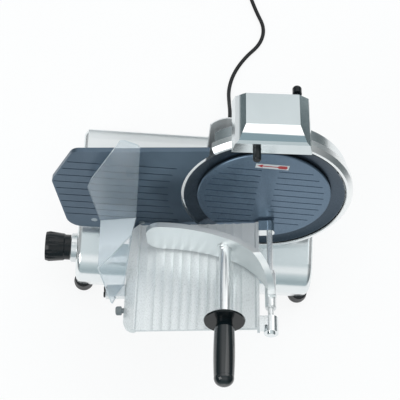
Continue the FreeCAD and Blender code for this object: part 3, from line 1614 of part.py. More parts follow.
def make_cord():
    body = "gland_radius"
    core = 4.4
    end = 30
    gland = turned([
        (0, -7.5), (body, -7.5), (body, 0.1), (f"{body} + 3.2", 0.1), (f"{body} + 3.2", 3),
        (f"{body} + 0.7", 4.5), (f"{body} + 0.4", 10), (core + 0.8, end), (0, end),
    ])
    ridge_pitch = 3.4
    for number in range(5):
        groove = turned([(core, 0), (12, 0), (12, 1.6), (core, 1.6)])
        gland = gland.cut(groove.translated(Vector(0, 0, 12.5 + ridge_pitch * number)))
    gland.Placement = Placement(at("cord_exit_across", "base_depth / 2", "cord_exit_height"), ALONG_Y)
    points = [Vector(*point) for point in ROUTE]
    wire, radii = rounded_route(points)
    lead = tube(wire, points[0], points[1] - points[0])
    moulded("cord_gland", gland.cut(lead))
    print("cord radii", " ".join(f"{radius:.0f}" for radius in radii))
    section = math.pi * value("cord_radius") ** 2
    print(f"free run {wire.Length:.0f} mm, volume ratio {lead.Volume / (section * wire.Length):.4f}")
    moulded("cord", lead)
    diameter = 2 * value("cord_radius")
    knots = []
    for half in range(int(2 * COIL_TURNS) // 2 + 1):
        knots.append(-COIL_TURNS * math.pi + half * math.pi)
    knots += [0] + [-turn for turn in reversed(knots)]
    edges = []
    for first, last in zip(knots[:-1], knots[1:]):
        ahead = coil_heading(first, 1)
        arriving = coil_heading(last, -1)
        edges += biarc(coil_point(first), ahead, coil_point(last), arriving)
    start = coil_point(knots[0])
    heading = coil_heading(knots[0], 1)
    end = coil_point(knots[-1])
    leaving = coil_heading(knots[-1], -1)
    tail = 1.5 * diameter
    edges = [Part.makeLine(start - heading * diameter, start)] + edges
    edges.append(Part.makeLine(end, end + leaving * tail))
    winding = Part.Wire(Part.__sortEdges__(edges))
    coil = tube(winding, start - heading * diameter, heading)
    turn = 90 - math.degrees(math.atan2(heading.y, heading.x))
    spin = Placement(Vector(), Rotation(AXIS_Z, turn))
    shift = points[-1] - spin.multVec(start - heading * diameter)
    place = Placement(shift, Rotation(AXIS_Z, turn))
    samples = winding.discretize(Distance=2)
    gap = winding.Length
    apart = 15
    for number, one in enumerate(samples):
        for other in samples[number + apart:]:
            gap = min(gap, one.distanceToPoint(other))
    print(f"coil {winding.Length:.0f} mm, volume ratio {coil.Volume / (section * winding.Length):.4f},",
          f"least gap {gap - diameter:.2f} mm")
    moulded("cord_coil", coil, place)
    tip = place.multVec(end + leaving * tail)
    direction = place.Rotation.multVec(leaving)
    relief_length = 20
    head_length = 30
    relief = turned([(0, 0), ("cord_radius + 0.5", 0), (7.6, relief_length), (0, relief_length)])
    head = Part.makeBox(26, 22, head_length, Vector(-13, -11, relief_length))
    head = head.makeFillet(4, [edge for edge in head.Edges if abs(edge.tangentAt(0).z) > 0.9])
    plug = relief.fuse(head)
    face = relief_length + head_length
    blade_across = 6.3
    for across in (-blade_across, blade_across):
        plug = plug.fuse(Part.makeBox(1.6, 6.3, 17, Vector(across - 0.8, -1.5, face)))
    plug = plug.fuse(rod(2.4, 19, Vector(0, -6.3, face)))
    upright = Rotation(Vector(direction.y, -direction.x, 0), Vector(0, 0, 1), direction, "ZYX")
    moulded("plug", plug.removeSplitter(), Placement(tip, upright))


make_base()
make_floor_plate()
make_feet()
make_receiving_tray()
make_blade()
make_hub()
make_bearings()
make_blade_cover()
make_cover_rod()
make_ring_guard()
make_housing()
make_pulleys()
make_belt()
make_drive_cover()
make_motor()
make_gauge_plate()
make_gauge_screws()
make_gauge_bracket()
make_cam()
make_dial()
make_switch()
make_slide()
make_arm()
make_tray()
make_guard()
make_rod()
make_pusher_arm()
make_pusher_bush()
make_handle()
make_deflector()
make_sharpener()
make_cord()

doc.recompute()
for item in doc.Objects:
    if any(state in ("Invalid", "Error") for state in item.State):
        raise RuntimeError(f"{item.Name} failed: {item.State}")
for label, item in subparts.items():
    shape = item.Shape
    if shape.isNull() or not shape.isValid():
        raise RuntimeError(f"{label} has no valid shape")
    shape.exportStep(f"parts/{label}.step")
print(len(subparts), "nodes")
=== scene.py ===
import json
import math

import bmesh
import bpy
from mathutils import Matrix, Vector


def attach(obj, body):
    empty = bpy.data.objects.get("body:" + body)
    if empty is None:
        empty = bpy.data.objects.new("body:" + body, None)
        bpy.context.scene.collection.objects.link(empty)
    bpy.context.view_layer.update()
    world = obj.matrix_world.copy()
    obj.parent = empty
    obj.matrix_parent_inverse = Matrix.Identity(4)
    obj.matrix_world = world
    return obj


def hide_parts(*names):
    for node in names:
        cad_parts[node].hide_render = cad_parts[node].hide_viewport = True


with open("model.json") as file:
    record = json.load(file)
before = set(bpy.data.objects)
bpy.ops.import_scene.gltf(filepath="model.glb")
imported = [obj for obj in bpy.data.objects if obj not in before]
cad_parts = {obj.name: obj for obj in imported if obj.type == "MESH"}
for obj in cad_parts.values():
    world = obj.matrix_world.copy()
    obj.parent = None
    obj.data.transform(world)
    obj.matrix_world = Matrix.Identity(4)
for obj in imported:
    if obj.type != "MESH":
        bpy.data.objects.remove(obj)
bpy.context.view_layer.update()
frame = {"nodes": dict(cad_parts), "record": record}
nodes = frame["nodes"]
scene = bpy.context.scene

# Middle of the feet, and the blade's centre, face and upward line, in metres

FEET = Vector((0.00665, 0.07311, 0))
TILT = math.radians(25)
FACE = Vector((0, -math.cos(TILT), math.sin(TILT)))
UP = Vector((0, math.sin(TILT), math.cos(TILT)))
BLADE = Vector((0.096, 0, 0.23)) + FEET

# Camera, as fitted to the photograph, with its place from the middle of the feet

CAMERA_PLACE = Vector((-0.0932, -0.3985, 2.0305))
CAMERA_RIGHT = Vector((0.9969, 0.0506, 0.0606))
CAMERA_DOWN = Vector((0.0622, -0.9764, -0.2064))
CAMERA_AHEAD = Vector((0.0489, 0.2096, -0.9766))
SENSOR_WIDTH = 36
LENS = 107.1

camera_data = bpy.data.cameras.new("camera")
camera_data.sensor_width = SENSOR_WIDTH
camera_data.lens = LENS
camera = bpy.data.objects.new("camera", camera_data)
turn = Matrix((CAMERA_RIGHT, -CAMERA_DOWN, -CAMERA_AHEAD)).transposed().to_4x4()
camera.matrix_world = Matrix.Translation(CAMERA_PLACE + FEET) @ turn
scene.collection.objects.link(camera)
scene.camera = camera

# Cord: the route of the part's own cord from the middle of the feet, in metres, then its coil

LYING = 0.0036
CORD_DIAMETER = 0.0068
COIL_PITCH = 0.0076
COIL_INNER = 0.02565
COIL_TURNS = 5.5
TURN_POINTS = 16
SMALL_TURN = 1e-4
ROUTE = [
    (0.050, 0.156, 0.050),
    (0.0508, 0.183, 0.047),
    (0.0495, 0.211, 0.021),
    (0.0485, 0.241, LYING),
    (0.0565, 0.272, LYING),
    (0.076, 0.303, LYING),
    (0.102, 0.329, LYING),
    (0.109, 0.360, LYING),
    (0.092, 0.391, LYING),
    (0.078, 0.424, LYING),
    (0.072, 0.462, LYING),
    (0.072, 0.490, LYING),
]


def coil_point(angle):
    """Middle of the cord: inwards in the lower layer, half a turn of climb, outwards in the upper one."""
    if abs(angle) < math.pi / 2:
        radius = COIL_INNER + COIL_PITCH / (2 * math.pi) * (angle * angle / math.pi + math.pi / 4)
        height = COIL_PITCH / 2 * (1 + math.sin(angle))
    else:
        radius = COIL_INNER + COIL_PITCH * abs(angle) / (2 * math.pi)
        height = 0 if angle < 0 else COIL_PITCH
    return Vector((radius * math.cos(angle), radius * math.sin(angle), height))


def cord_points():
    """Control points of the whole cord, with the coil turned so that the route runs into it."""
    first = -COIL_TURNS * math.pi
    start = coil_point(first)
    heading = (coil_point(first + SMALL_TURN) - start).normalized()
    spin = Matrix.Rotation(math.pi / 2 - math.atan2(heading.y, heading.x), 3, "Z")
    shift = Vector(ROUTE[-1]) + FEET + Vector((0, CORD_DIAMETER, 0)) - spin @ start
    points = [Vector(point) + FEET for point in ROUTE]
    steps = int(COIL_TURNS * TURN_POINTS)
    stretch = 1 / math.cos(math.pi / (2 * TURN_POINTS)) ** 0.5
    for number in range(steps + 1):
        place = coil_point(first + 2 * COIL_TURNS * math.pi * number / steps)
        place.x *= stretch
        place.y *= stretch
        points.append(spin @ place + shift)
    leaving = (coil_point(-first) - coil_point(-first - SMALL_TURN)).normalized()
    points.append(points[-1] + spin @ leaving * CORD_DIAMETER)
    return points


curve = bpy.data.curves.new("power_cord", "CURVE")
curve.dimensions = "3D"
curve.bevel_depth = CORD_DIAMETER / 2
curve.bevel_resolution = 5
curve.resolution_u = 6
route = cord_points()
spline = curve.splines.new("NURBS")
spline.points.add(len(route) - 1)
for point, place in zip(spline.points, route):
    point.co = (*place, 1)
spline.order_u = 3
spline.use_endpoint_u = True
cord = bpy.data.objects.new("power_cord", curve)
scene.collection.objects.link(cord)

# Shader nodes


def shader(name):
    material = bpy.data.materials.new(name)
    material.use_nodes = True
    tree = material.node_tree
    return material, tree, tree.nodes["Principled BSDF"]


def node(tree, kind, **settings):
    """New node; each setting is an input's constant or else the node's own option."""
    made = tree.nodes.new(kind)
    for key, setting in settings.items():
        if key in made.inputs:
            made.inputs[key].default_value = setting
        else:
            setattr(made, key, setting)
    return made


def coordinates(tree, scale=(1, 1, 1)):
    place = tree.nodes.new("ShaderNodeTexCoord")
    mapping = tree.nodes.new("ShaderNodeMapping")
    mapping.inputs["Scale"].default_value = scale
    tree.links.new(place.outputs["Object"], mapping.inputs["Vector"])
    return mapping.outputs["Vector"]


def axes(tree, kind="Object"):
    """X, Y and Z of a place on the object, or of a direction in the world."""
    place = tree.nodes.new("ShaderNodeTexCoord")
    split = tree.nodes.new("ShaderNodeSeparateXYZ")
    tree.links.new(place.outputs[kind], split.inputs[0])
    return split.outputs


def noise(tree, vector, scale, detail=4, roughness=0.55):
    made = node(tree, "ShaderNodeTexNoise", Scale=scale, Detail=detail, Roughness=roughness)
    tree.links.new(vector, made.inputs["Vector"])
    return made.outputs["Fac"]


def ranged(tree, factor, low, high, start=0.3, end=0.7):
    """Take a factor from the range start to end into the range low to high."""
    made = node(tree, "ShaderNodeMapRange")
    made.inputs["From Min"].default_value = start
    made.inputs["From Max"].default_value = end
    made.inputs["To Min"].default_value = low
    made.inputs["To Max"].default_value = high
    tree.links.new(factor, made.inputs["Value"])
    return made.outputs["Result"]


def tinted(tree, factor, dark, light, start=0.35, end=0.65):
    made = node(tree, "ShaderNodeValToRGB")
    for stop, position, colour in zip(made.color_ramp.elements, (start, end), (dark, light)):
        stop.position = position
        stop.color = (*colour, 1)
    tree.links.new(factor, made.inputs["Fac"])
    return made.outputs["Color"]


def mixed(tree, factor, first, second):
    """Colour mix by a factor; each colour is an output or a constant."""
    made = node(tree, "ShaderNodeMix", data_type="RGBA")
    tree.links.new(factor, made.inputs[0])
    for socket, colour in ((made.inputs[6], first), (made.inputs[7], second)):
        if isinstance(colour, tuple):
            socket.default_value = (*colour, 1)
        else:
            tree.links.new(colour, socket)
    return made.outputs[2]


def blended(tree, factor, first, second, target):
    """Mix two shaders by a factor into a target."""
    made = tree.nodes.new("ShaderNodeMixShader")
    for source, socket in zip((factor, first, second), made.inputs):
        tree.links.new(source, socket)
    tree.links.new(made.outputs["Shader"], target)


def computed(tree, operation, first, second=None):
    """Result of an operation; each term is an output or a constant."""
    made = node(tree, "ShaderNodeMath", operation=operation)
    for socket, term in zip(made.inputs, (first, second)):
        if isinstance(term, float):
            socket.default_value = term
        elif term is not None:
            tree.links.new(term, socket)
    return made.outputs[0]


def edge_wear_and_highlight(tree, width=0.0008):
    """Factor that rises on outer edges, broken up by a noise, for paler edges: partly from wearing, partly
    a painted highlight.
    """
    rounded = node(tree, "ShaderNodeBevel", samples=4, Radius=width)
    place = tree.nodes.new("ShaderNodeNewGeometry")
    dot = node(tree, "ShaderNodeVectorMath", operation="DOT_PRODUCT")
    tree.links.new(rounded.outputs["Normal"], dot.inputs[0])
    tree.links.new(place.outputs["Normal"], dot.inputs[1])
    edge = ranged(tree, dot.outputs["Value"], low=1.0, high=0.0, start=0.8, end=0.99)
    patches = noise(tree, coordinates(tree), scale=130, detail=5, roughness=0.7)
    return computed(tree, "MULTIPLY", edge, ranged(tree, patches, low=0.25, high=1.0, start=0.35, end=0.65))


def bumped(tree, target, heights, strength, distance=0.0005):
    made = node(tree, "ShaderNodeBump", Strength=strength, Distance=distance)
    tree.links.new(heights, made.inputs["Height"])
    tree.links.new(made.outputs["Normal"], target.inputs["Normal"])


def lifted(colour, gain, base):
    """Paler colour for an edge."""
    return tuple(min(1.0, channel * gain + base) for channel in colour)


# Kinds of material


def metal(name, light, dark, rough, stretch=(1, 1, 1), grain=900, bump=0.08, metallic=1.0):
    """Metal with a fine grain, stretched along one way where it is brushed, and brighter edges, partly from
    wearing and partly a painted highlight.
    """
    material, tree, surface = shader(name)
    surface.inputs["Metallic"].default_value = metallic
    fine = noise(tree, coordinates(tree, stretch), scale=grain, detail=6, roughness=0.65)
    broad = noise(tree, coordinates(tree), scale=9, detail=3)
    # Brighter edges: partly from wearing, partly a painted highlight
    bright = lifted(light, gain=1.12, base=0.04)
    colour = mixed(tree, edge_wear_and_highlight(tree), tinted(tree, broad, dark, light), bright)
    tree.links.new(colour, surface.inputs["Base Color"])
    tree.links.new(ranged(tree, fine, *rough), surface.inputs["Roughness"])
    bumped(tree, surface, fine, bump)
    return material


def coating(name, light, dark, rough, grain=1500, bump=0.1, coat=0.0, metallic=0.0, wear_and_highlight=0.4):
    """Painted, moulded or rubber surface with a fine texture and paler edges, partly from wearing and
    partly a painted highlight.
    """
    material, tree, surface = shader(name)
    surface.inputs["Metallic"].default_value = metallic
    surface.inputs["Coat Weight"].default_value = coat
    surface.inputs["Coat Roughness"].default_value = 0.12
    surface.inputs["Specular IOR Level"].default_value = 0.3
    fine = noise(tree, coordinates(tree), scale=grain, detail=5, roughness=0.6)
    broad = noise(tree, coordinates(tree), scale=14, detail=3)
    edges = computed(tree, "MULTIPLY", edge_wear_and_highlight(tree), wear_and_highlight)
    # Paler edges: partly from wearing, partly a painted highlight
    worn_and_lit = lifted(light, gain=1.8, base=0.06)
    colour = mixed(tree, edges, tinted(tree, broad, dark, light), worn_and_lit)
    tree.links.new(colour, surface.inputs["Base Color"])
    tree.links.new(ranged(tree, fine, *rough), surface.inputs["Roughness"])
    bumped(tree, surface, fine, bump)
    return material


def graded(material, axis, start, end, colour, metallic):
    """Let a metal go over to another colour and metallic share between two places along an axis."""
    tree = material.node_tree
    surface = tree.nodes["Principled BSDF"]
    share = ranged(tree, axes(tree)[axis], 0.0, 1.0, start, end)
    plain = surface.inputs["Base Color"].links[0].from_socket
    tree.links.new(mixed(tree, share, plain, colour), surface.inputs["Base Color"])
    first = surface.inputs["Metallic"].default_value
    tree.links.new(ranged(tree, share, first, metallic, 0.0, 1.0), surface.inputs["Metallic"])
    return material


def clear(name, milk, milk_rise=None):
    """Clear sheet with faint scuffs and a milky share.

    Milk rise gives the two places along Y between which the share goes from milk to its third value; on the
    guard's folded panel that rise is a painted reflection.
    """
    material, tree, surface = shader(name)
    surface.inputs["Base Color"].default_value = (0.9, 0.94, 0.97, 1)
    surface.inputs["Transmission Weight"].default_value = 1
    surface.inputs["IOR"].default_value = 1.3
    scuffs = noise(tree, coordinates(tree, (1, 1, 8)), scale=60, detail=5, roughness=0.7)
    roughness = ranged(tree, scuffs, low=0.02, high=0.09, start=0.45, end=0.75)
    tree.links.new(roughness, surface.inputs["Roughness"])
    bumped(tree, surface, scuffs, strength=0.01)
    cloud = node(tree, "ShaderNodeBsdfDiffuse", Color=(0.86, 0.95, 1.0, 1))
    cloudy = noise(tree, coordinates(tree, (1, 0.2, 0.2)), scale=34, detail=2)
    if milk_rise:
        low, high, full = milk_rise
        waver = ranged(tree, cloudy, low=-0.006, high=0.006)
        amount = ranged(tree, computed(tree, "ADD", axes(tree)["Y"], waver), milk, full, low, high)
    else:
        amount = ranged(tree, cloudy, 0.7 * milk, 1.3 * milk)
    output = tree.nodes["Material Output"].inputs["Surface"]
    blended(tree, amount, surface.outputs["BSDF"], cloud.outputs["BSDF"], output)
    return material


# Materials of the slots

ALONG = (1, 14, 14)
ACROSS = (10, 1, 1)
MATERIALS = {
    "cast_aluminium": metal(
        "polished_casting", (0.84, 0.875, 0.885), (0.78, 0.82, 0.83),
        rough=(0.16, 0.24), stretch=ALONG, grain=220, bump=0.04),
    "machined_aluminium": metal(
        "machined_aluminium", (0.8, 0.83, 0.84), (0.72, 0.75, 0.76), rough=(0.24, 0.36)),
    "tray_metal": metal(
        "anodised_tray", (0.76, 0.81, 0.82), (0.7, 0.755, 0.765),
        rough=(0.24, 0.34), stretch=ACROSS, grain=300, bump=0.03, metallic=0.25),
    "blade_steel": metal(
        "ground_blade", (0.07, 0.095, 0.125), (0.058, 0.08, 0.105),
        rough=(0.24, 0.34), grain=700, bump=0.03, metallic=0.8),
    "steel": metal(
        "zinc_steel", (0.62, 0.64, 0.65), (0.52, 0.54, 0.55), rough=(0.3, 0.42)),
    "chrome": metal(
        "chrome", (0.93, 0.95, 0.96), (0.87, 0.89, 0.9),
        rough=(0.1, 0.18), stretch=(14, 1, 1), grain=300, bump=0.01),
    "brass": metal(
        "brass", (0.78, 0.6, 0.32), (0.68, 0.5, 0.25), rough=(0.26, 0.36)),
    "gauge_coating": coating(
        "slate_coating", (0.115, 0.16, 0.21), (0.095, 0.135, 0.18),
        rough=(0.28, 0.36), grain=1800, bump=0.05, metallic=0.7),
    "cover_coating": coating(
        "grey_coating", (0.155, 0.22, 0.295), (0.14, 0.2, 0.27),
        rough=(0.24, 0.32), grain=1800, bump=0.05, metallic=0.7),
    "black_plastic": coating(
        "gloss_black", (0.006, 0.01, 0.012), (0.004, 0.007, 0.009),
        rough=(0.16, 0.24), grain=700, bump=0.015, coat=0.08),
    "dark_plastic": coating(
        "matt_black", (0.03, 0.032, 0.034), (0.02, 0.021, 0.022), rough=(0.45, 0.6)),
    "black_rubber": coating(
        "black_rubber", (0.02, 0.022, 0.024), (0.013, 0.014, 0.015),
        rough=(0.4, 0.55), grain=1200),
    "belt_rubber": coating(
        "belt_rubber", (0.025, 0.025, 0.025), (0.015, 0.015, 0.015), rough=(0.6, 0.75)),
    "stone": coating(
        "abrasive_stone", (0.45, 0.38, 0.35), (0.28, 0.24, 0.22),
        rough=(0.8, 0.95), grain=2600, bump=0.5),
    "green_plastic": coating(
        "green_button", (0.03, 0.32, 0.09), (0.025, 0.28, 0.08),
        rough=(0.2, 0.3), grain=700, bump=0.02, coat=0.3),
    "red_plastic": coating(
        "red_button", (0.55, 0.02, 0.03), (0.48, 0.018, 0.025),
        rough=(0.2, 0.3), grain=700, bump=0.02, coat=0.3),
    "clear_guard": clear("clear_guard", milk=0.13),
}

# Pieces whose surface in the photograph differs from others of their slot

fluted = metal(
    "fluted_tray_painted_light", (0.8, 0.845, 0.855), (0.74, 0.79, 0.8),
    rough=(0.24, 0.34), stretch=ACROSS, grain=300, bump=0.03, metallic=0.3)
SPECIAL = {
    # Carriage tray: paler and less metallic towards the back, a painted light on its upper flat
    "carriage_tray": graded(
        fluted, "Y", start=-0.05, end=0.02, colour=(0.97, 0.985, 0.985), metallic=0.05),
    "pusher_rod": metal(
        "satin_rod", (0.93, 0.95, 0.955), (0.88, 0.905, 0.91),
        rough=(0.24, 0.32), bump=0.02, metallic=0.4),
    "pusher_bush": metal(
        "pale_bush", (0.88, 0.9, 0.9), (0.8, 0.83, 0.83),
        rough=(0.3, 0.4), bump=0.02, metallic=0.6),
    "gauge_screws": metal(
        "dull_screws", (0.4, 0.46, 0.5), (0.32, 0.37, 0.41), rough=(0.34, 0.44), bump=0.03),
    "tray_side_knob": coating(
        "grey_knob", (0.22, 0.25, 0.26), (0.17, 0.2, 0.21), rough=(0.35, 0.45)),
    "pusher_arm": metal(
        "satin_arm", (0.93, 0.955, 0.955), (0.89, 0.92, 0.925),
        rough=(0.34, 0.42), grain=1400, bump=0.02),
    "ring_guard": metal(
        "satin_ring", (0.95, 0.965, 0.965), (0.9, 0.925, 0.93), rough=(0.26, 0.34), bump=0.03),
    "handle_shaft": metal(
        "satin_shaft", (0.95, 0.97, 0.97), (0.91, 0.935, 0.94), rough=(0.26, 0.34), bump=0.02),
    "slice_deflector": metal(
        "satin_deflector", (0.96, 0.975, 0.975), (0.92, 0.945, 0.945),
        rough=(0.36, 0.46), bump=0.02, metallic=0.1),
    "base_casting": metal(
        "polished_base", (0.88, 0.915, 0.925), (0.83, 0.87, 0.88),
        rough=(0.14, 0.22), stretch=ALONG, grain=220, bump=0.03, metallic=0.85),
    "receiving_tray": metal(
        "matt_tray", (0.96, 0.98, 0.98), (0.92, 0.945, 0.945),
        rough=(0.4, 0.5), bump=0.02, metallic=0.1),
    "sharpener_cover": metal(
        "brushed_hood", (0.71, 0.77, 0.785), (0.65, 0.71, 0.725),
        rough=(0.12, 0.19), stretch=ALONG, grain=260, bump=0.03),
}
slot_of = {part["node"]: part["material_slot"] for part in frame["record"]["subparts"]}
for name, thing in nodes.items():
    thing.data.materials.clear()
    thing.data.materials.append(SPECIAL.get(name) or MATERIALS[slot_of[name]])
    for face in thing.data.polygons:
        face.material_index = 0

# Guard: its cut edges carry a painted highlight, and the panel below the fold is milky, with its milky
# share rising along Y to near white, a painted reflection over the sheet's own faint frosting

CUT_EDGE = 1
FROSTED_AND_LIT = 2
SAME_WAY = 0.995
FOLDED_PANEL = Vector((0.22, -0.62, -0.75))
CLEAR_PANELS = (Vector((0, 0.9063, -0.4226)), Vector((0.81, -0.33, 0.49)))

guard = nodes["hand_guard"]
# Cut edges: a pale coating, a painted highlight
guard.data.materials.append(coating(
    "guard_edge_painted_highlight", (0.68, 0.76, 0.8), (0.6, 0.69, 0.74),
    rough=(0.2, 0.3), grain=900, bump=0.03, coat=0.3))
# Folded panel: milky share rising along Y to near white, a painted reflection over faint frosting
guard.data.materials.append(clear("frosted_guard_painted_reflection", milk=0.5, milk_rise=(-0.05, -0.018, 0.97)))
for face in guard.data.polygons:
    if abs(face.normal.dot(FOLDED_PANEL)) > SAME_WAY:
        face.material_index = FROSTED_AND_LIT
    elif not any(abs(face.normal.dot(normal)) > SAME_WAY for normal in CLEAR_PANELS):
        face.material_index = CUT_EDGE

# Handle: the grip is glossier than the disc in front of the hand

GLOSSY = 1
GRIP_RADIUS = 0.0165

grip = nodes["handle_grip"]
grip.data.materials.append(coating(
    "grip_gloss", (0.006, 0.012, 0.015), (0.004, 0.009, 0.012),
    rough=(0.08, 0.13), grain=700, bump=0.01, coat=0.8))
across = [vertex.co.x for vertex in grip.data.vertices]
rise = [vertex.co.dot(UP) for vertex in grip.data.vertices]
middle_across, middle_rise = ((min(places) + max(places)) / 2 for places in (across, rise))
for face in grip.data.polygons:
    if math.hypot(face.center.x - middle_across, face.center.dot(UP) - middle_rise) < GRIP_RADIUS:
        face.material_index = GLOSSY

# Hood: its side bevels are a darker copy of its metal, a painted shade, turning pale and less metallic
# below LIGHT_EDGE along X, and the front bevel is a near-white copy, a painted highlight, dark along its
# lower edge, a painted shade

SIDE = 1
FRONT = 2
FACES_UP = 0.3
FACES_STRAIGHT_UP = 0.99
SIDE_LEAN = (0.45, 0.85)
BAND_LOW = 0.1196
BAND_HIGH = 0.1288
BAND_FADE = 0.002
LIGHT_EDGE = 0.0458
LIGHT_FADE = 0.003

hood = nodes["sharpener_cover"]
# Side bevels: a darker copy of the hood's metal, painted shade
hood_sides_painted_shade = metal(
    "hood_sides_painted_shade", (0.5, 0.6, 0.62), (0.42, 0.51, 0.53),
    rough=(0.14, 0.22), stretch=(14, 1, 14), grain=260, bump=0.03)
hood.data.materials.append(graded(
    hood_sides_painted_shade, "X", LIGHT_EDGE + LIGHT_FADE, LIGHT_EDGE, colour=(0.9, 0.93, 0.94), metallic=0.15))
# Front bevel: a near-white copy of the hood's metal, painted highlight, dark towards its lower edge,
# painted shade
hood_front_painted_highlight_and_shade = metal(
    "hood_front_painted_highlight_and_shade", (0.95, 0.97, 0.97), (0.92, 0.94, 0.94),
    rough=(0.14, 0.2), stretch=ALONG, grain=260, bump=0.02)
hood.data.materials.append(graded(
    hood_front_painted_highlight_and_shade, "Y", BAND_HIGH, BAND_HIGH - BAND_FADE, colour=(0.17, 0.235, 0.26), metallic=1.0))
for face in hood.data.polygons:
    if face.normal.z > FACES_UP and SIDE_LEAN[0] < abs(face.normal.x) < SIDE_LEAN[1]:
        face.material_index = SIDE
    elif face.normal.z > FACES_STRAIGHT_UP and face.center.y > BAND_LOW:
        face.material_index = FRONT

curve.materials.append(MATERIALS["black_rubber"])
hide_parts("cord", "cord_coil")
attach(cord, "root")

# Direction arrow on its plate, on the blade's cover, in millimetres from the blade's centre

MILLIMETRE = 0.001
COVER_FACE = 1.5
PLATE_TOP = COVER_FACE + 0.5
ARROW_FOOT = PLATE_TOP - 0.1
ARROW_TOP = PLATE_TOP + 0.12
EDGE_ROUNDING = 0.08
PLATE = [(-22, 72.5), (28.5, 70.5), (29.3, 81), (-21.4, 82)]
ARROW = [(-19.5, 77.4), (-11, 73.6), (-11.4, 76.2), (11, 75.4), (14.5, 72.6), (25, 72.2),
         (27, 75.8), (25.4, 79.6), (14.8, 79.4), (11.1, 77.1), (-11.2, 78.2), (-10.7, 80.8)]


def blade_place(across, rise, out):
    """Place of a point that is given in the blade's frame."""
    return BLADE + Vector((across, 0, 0)) * MILLIMETRE + UP * rise * MILLIMETRE + FACE * out * MILLIMETRE


def flat_piece(name, corners, low, high, material):
    """Thin plate with a given outline on the blade cover's face."""
    mesh = bmesh.new()
    lower = [mesh.verts.new(blade_place(across, rise, low)) for across, rise in corners]
    upper = [mesh.verts.new(blade_place(across, rise, high)) for across, rise in corners]
    mesh.faces.new(upper)
    mesh.faces.new(lower[::-1])
    for number in range(len(corners)):
        after = (number + 1) % len(corners)
        mesh.faces.new((lower[number], lower[after], upper[after], upper[number]))
    bmesh.ops.recalc_face_normals(mesh, faces=mesh.faces)
    data = bpy.data.meshes.new(name)
    mesh.to_mesh(data)
    mesh.free()
    piece = bpy.data.objects.new(name, data)
    scene.collection.objects.link(piece)
    rounding = piece.modifiers.new("rounding", "BEVEL")
    rounding.width = EDGE_ROUNDING * MILLIMETRE
    rounding.segments = 2
    data.materials.append(material)
    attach(piece, "root")


white_enamel = coating(
    "white_enamel", (0.86, 0.88, 0.89), (0.8, 0.82, 0.83),
    rough=(0.2, 0.3), grain=900, bump=0.02, coat=0.3)
flat_piece("arrow_plate", PLATE, COVER_FACE, PLATE_TOP, white_enamel)
flat_piece("direction_arrow", ARROW, ARROW_FOOT, ARROW_TOP, MATERIALS["red_plastic"])

# Floor: part of what it shows is plain white, and the rest keeps the object's shadow

FLOOR_SIZE = 2
WHITE_SHARE = 0.84
WHITE_STRENGTH = 1.02


def shown_to(tree, *kinds):
    """1 for rays of these kinds, which see the white surroundings."""
    path = tree.nodes.new("ShaderNodeLightPath")
    share = path.outputs[kinds[0]]
    for kind in kinds[1:]:
        share = computed(tree, "MAXIMUM", share, path.outputs[kind])
    return share


bpy.ops.mesh.primitive_plane_add(size=FLOOR_SIZE, location=(0, 0, 0))
floor = bpy.context.object
floor.name = "floor"
material, tree, surface = shader("floor")
surface.inputs["Base Color"].default_value = (0.88, 0.92, 0.93, 1)
surface.inputs["Roughness"].default_value = 0.8
white = node(tree, "ShaderNodeEmission", Strength=WHITE_STRENGTH)
shown = shown_to(tree, "Is Camera Ray", "Is Glossy Ray", "Is Transmission Ray")
share = computed(tree, "MULTIPLY", shown, WHITE_SHARE)
output = tree.nodes["Material Output"].inputs["Surface"]
blended(tree, share, surface.outputs["BSDF"], white.outputs["Emission"], output)
floor.data.materials.append(material)

# Lamps

LAMP_AIM = Vector((0, 0, 0.15))


def lamp(name, place, size, power):
    data = bpy.data.lights.new(name, "AREA")
    data.shape = "RECTANGLE"
    data.size, data.size_y = size
    data.energy = power
    light = bpy.data.objects.new(name, data)
    light.location = place
    light.rotation_euler = (LAMP_AIM - Vector(place)).to_track_quat("-Z", "Y").to_euler()
    scene.collection.objects.link(light)


lamp("key", place=(-1.7, -0.9, 1.9), size=(1.4, 1.4), power=15)
lamp("fill", place=(1.2, 1.3, 1.8), size=(1.8, 1.6), power=8)

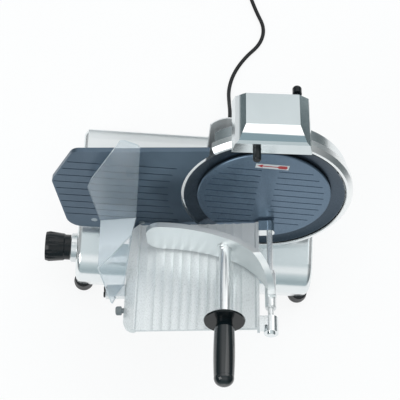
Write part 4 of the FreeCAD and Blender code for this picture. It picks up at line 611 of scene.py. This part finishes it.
# Surroundings: a level for each angle in degrees about X, from the front over the top to the back

LEVELS = ((-180, 0.7), (-100, 0.6), (-88, 0.46), (-76, 0.42), (-62, 0.52), (-48, 0.64), (-30, 0.95),
          (-18, 0.92), (0, 0.72), (10, 0.66), (20, 1.3), (30, 1.5), (48, 1.25), (64, 0.95), (80, 0.6),
          (95, 0.5), (180, 0.7))
BRIGHTEST = max(level for degrees, level in LEVELS)
DARK_RED = 0.6
DARK_GREEN = 0.91
SIDE_LEVEL = 0.3
SIDE_START = 0.35
SIDE_END = 0.75


def cool(level):
    """Grey of a level as a share of the brightest, blue-green where it is dark."""
    share = min(level, 1)
    level = level / BRIGHTEST
    red = DARK_RED + (1 - DARK_RED) * share
    green = DARK_GREEN + (1 - DARK_GREEN) * share
    return (level * red, level * green, level, 1)


world = bpy.data.worlds.new("studio")
scene.world = world
world.use_nodes = True
tree = world.node_tree
studio = tree.nodes["Background"]
way = axes(tree, "Generated")
angle = computed(tree, "ARCTAN2", way["Y"], way["Z"])
ramp = tree.nodes.new("ShaderNodeValToRGB")
ramp.color_ramp.interpolation = "EASE"
stops = ramp.color_ramp.elements
for degrees, level in LEVELS[1:-1]:
    stops.new((degrees + 180) / 360)
for stop, (degrees, level) in zip(stops, LEVELS):
    stop.position = (degrees + 180) / 360
    stop.color = cool(level)
tree.links.new(ranged(tree, angle, 0.0, 1.0, -math.pi, math.pi), ramp.inputs["Fac"])
tree.links.new(ramp.outputs["Color"], studio.inputs["Color"])
sideways = computed(tree, "ABSOLUTE", way["X"])
strength = ranged(tree, sideways, BRIGHTEST, SIDE_LEVEL * BRIGHTEST, SIDE_START, SIDE_END)
tree.links.new(strength, studio.inputs["Strength"])
white = node(tree, "ShaderNodeBackground", Color=(1, 1, 1, 1), Strength=1)
shown = shown_to(tree, "Is Camera Ray", "Is Transmission Ray")
output = tree.nodes["World Output"].inputs["Surface"]
blended(tree, shown, studio.outputs["Background"], white.outputs["Background"], output)
scene.view_settings.view_transform = "Standard"
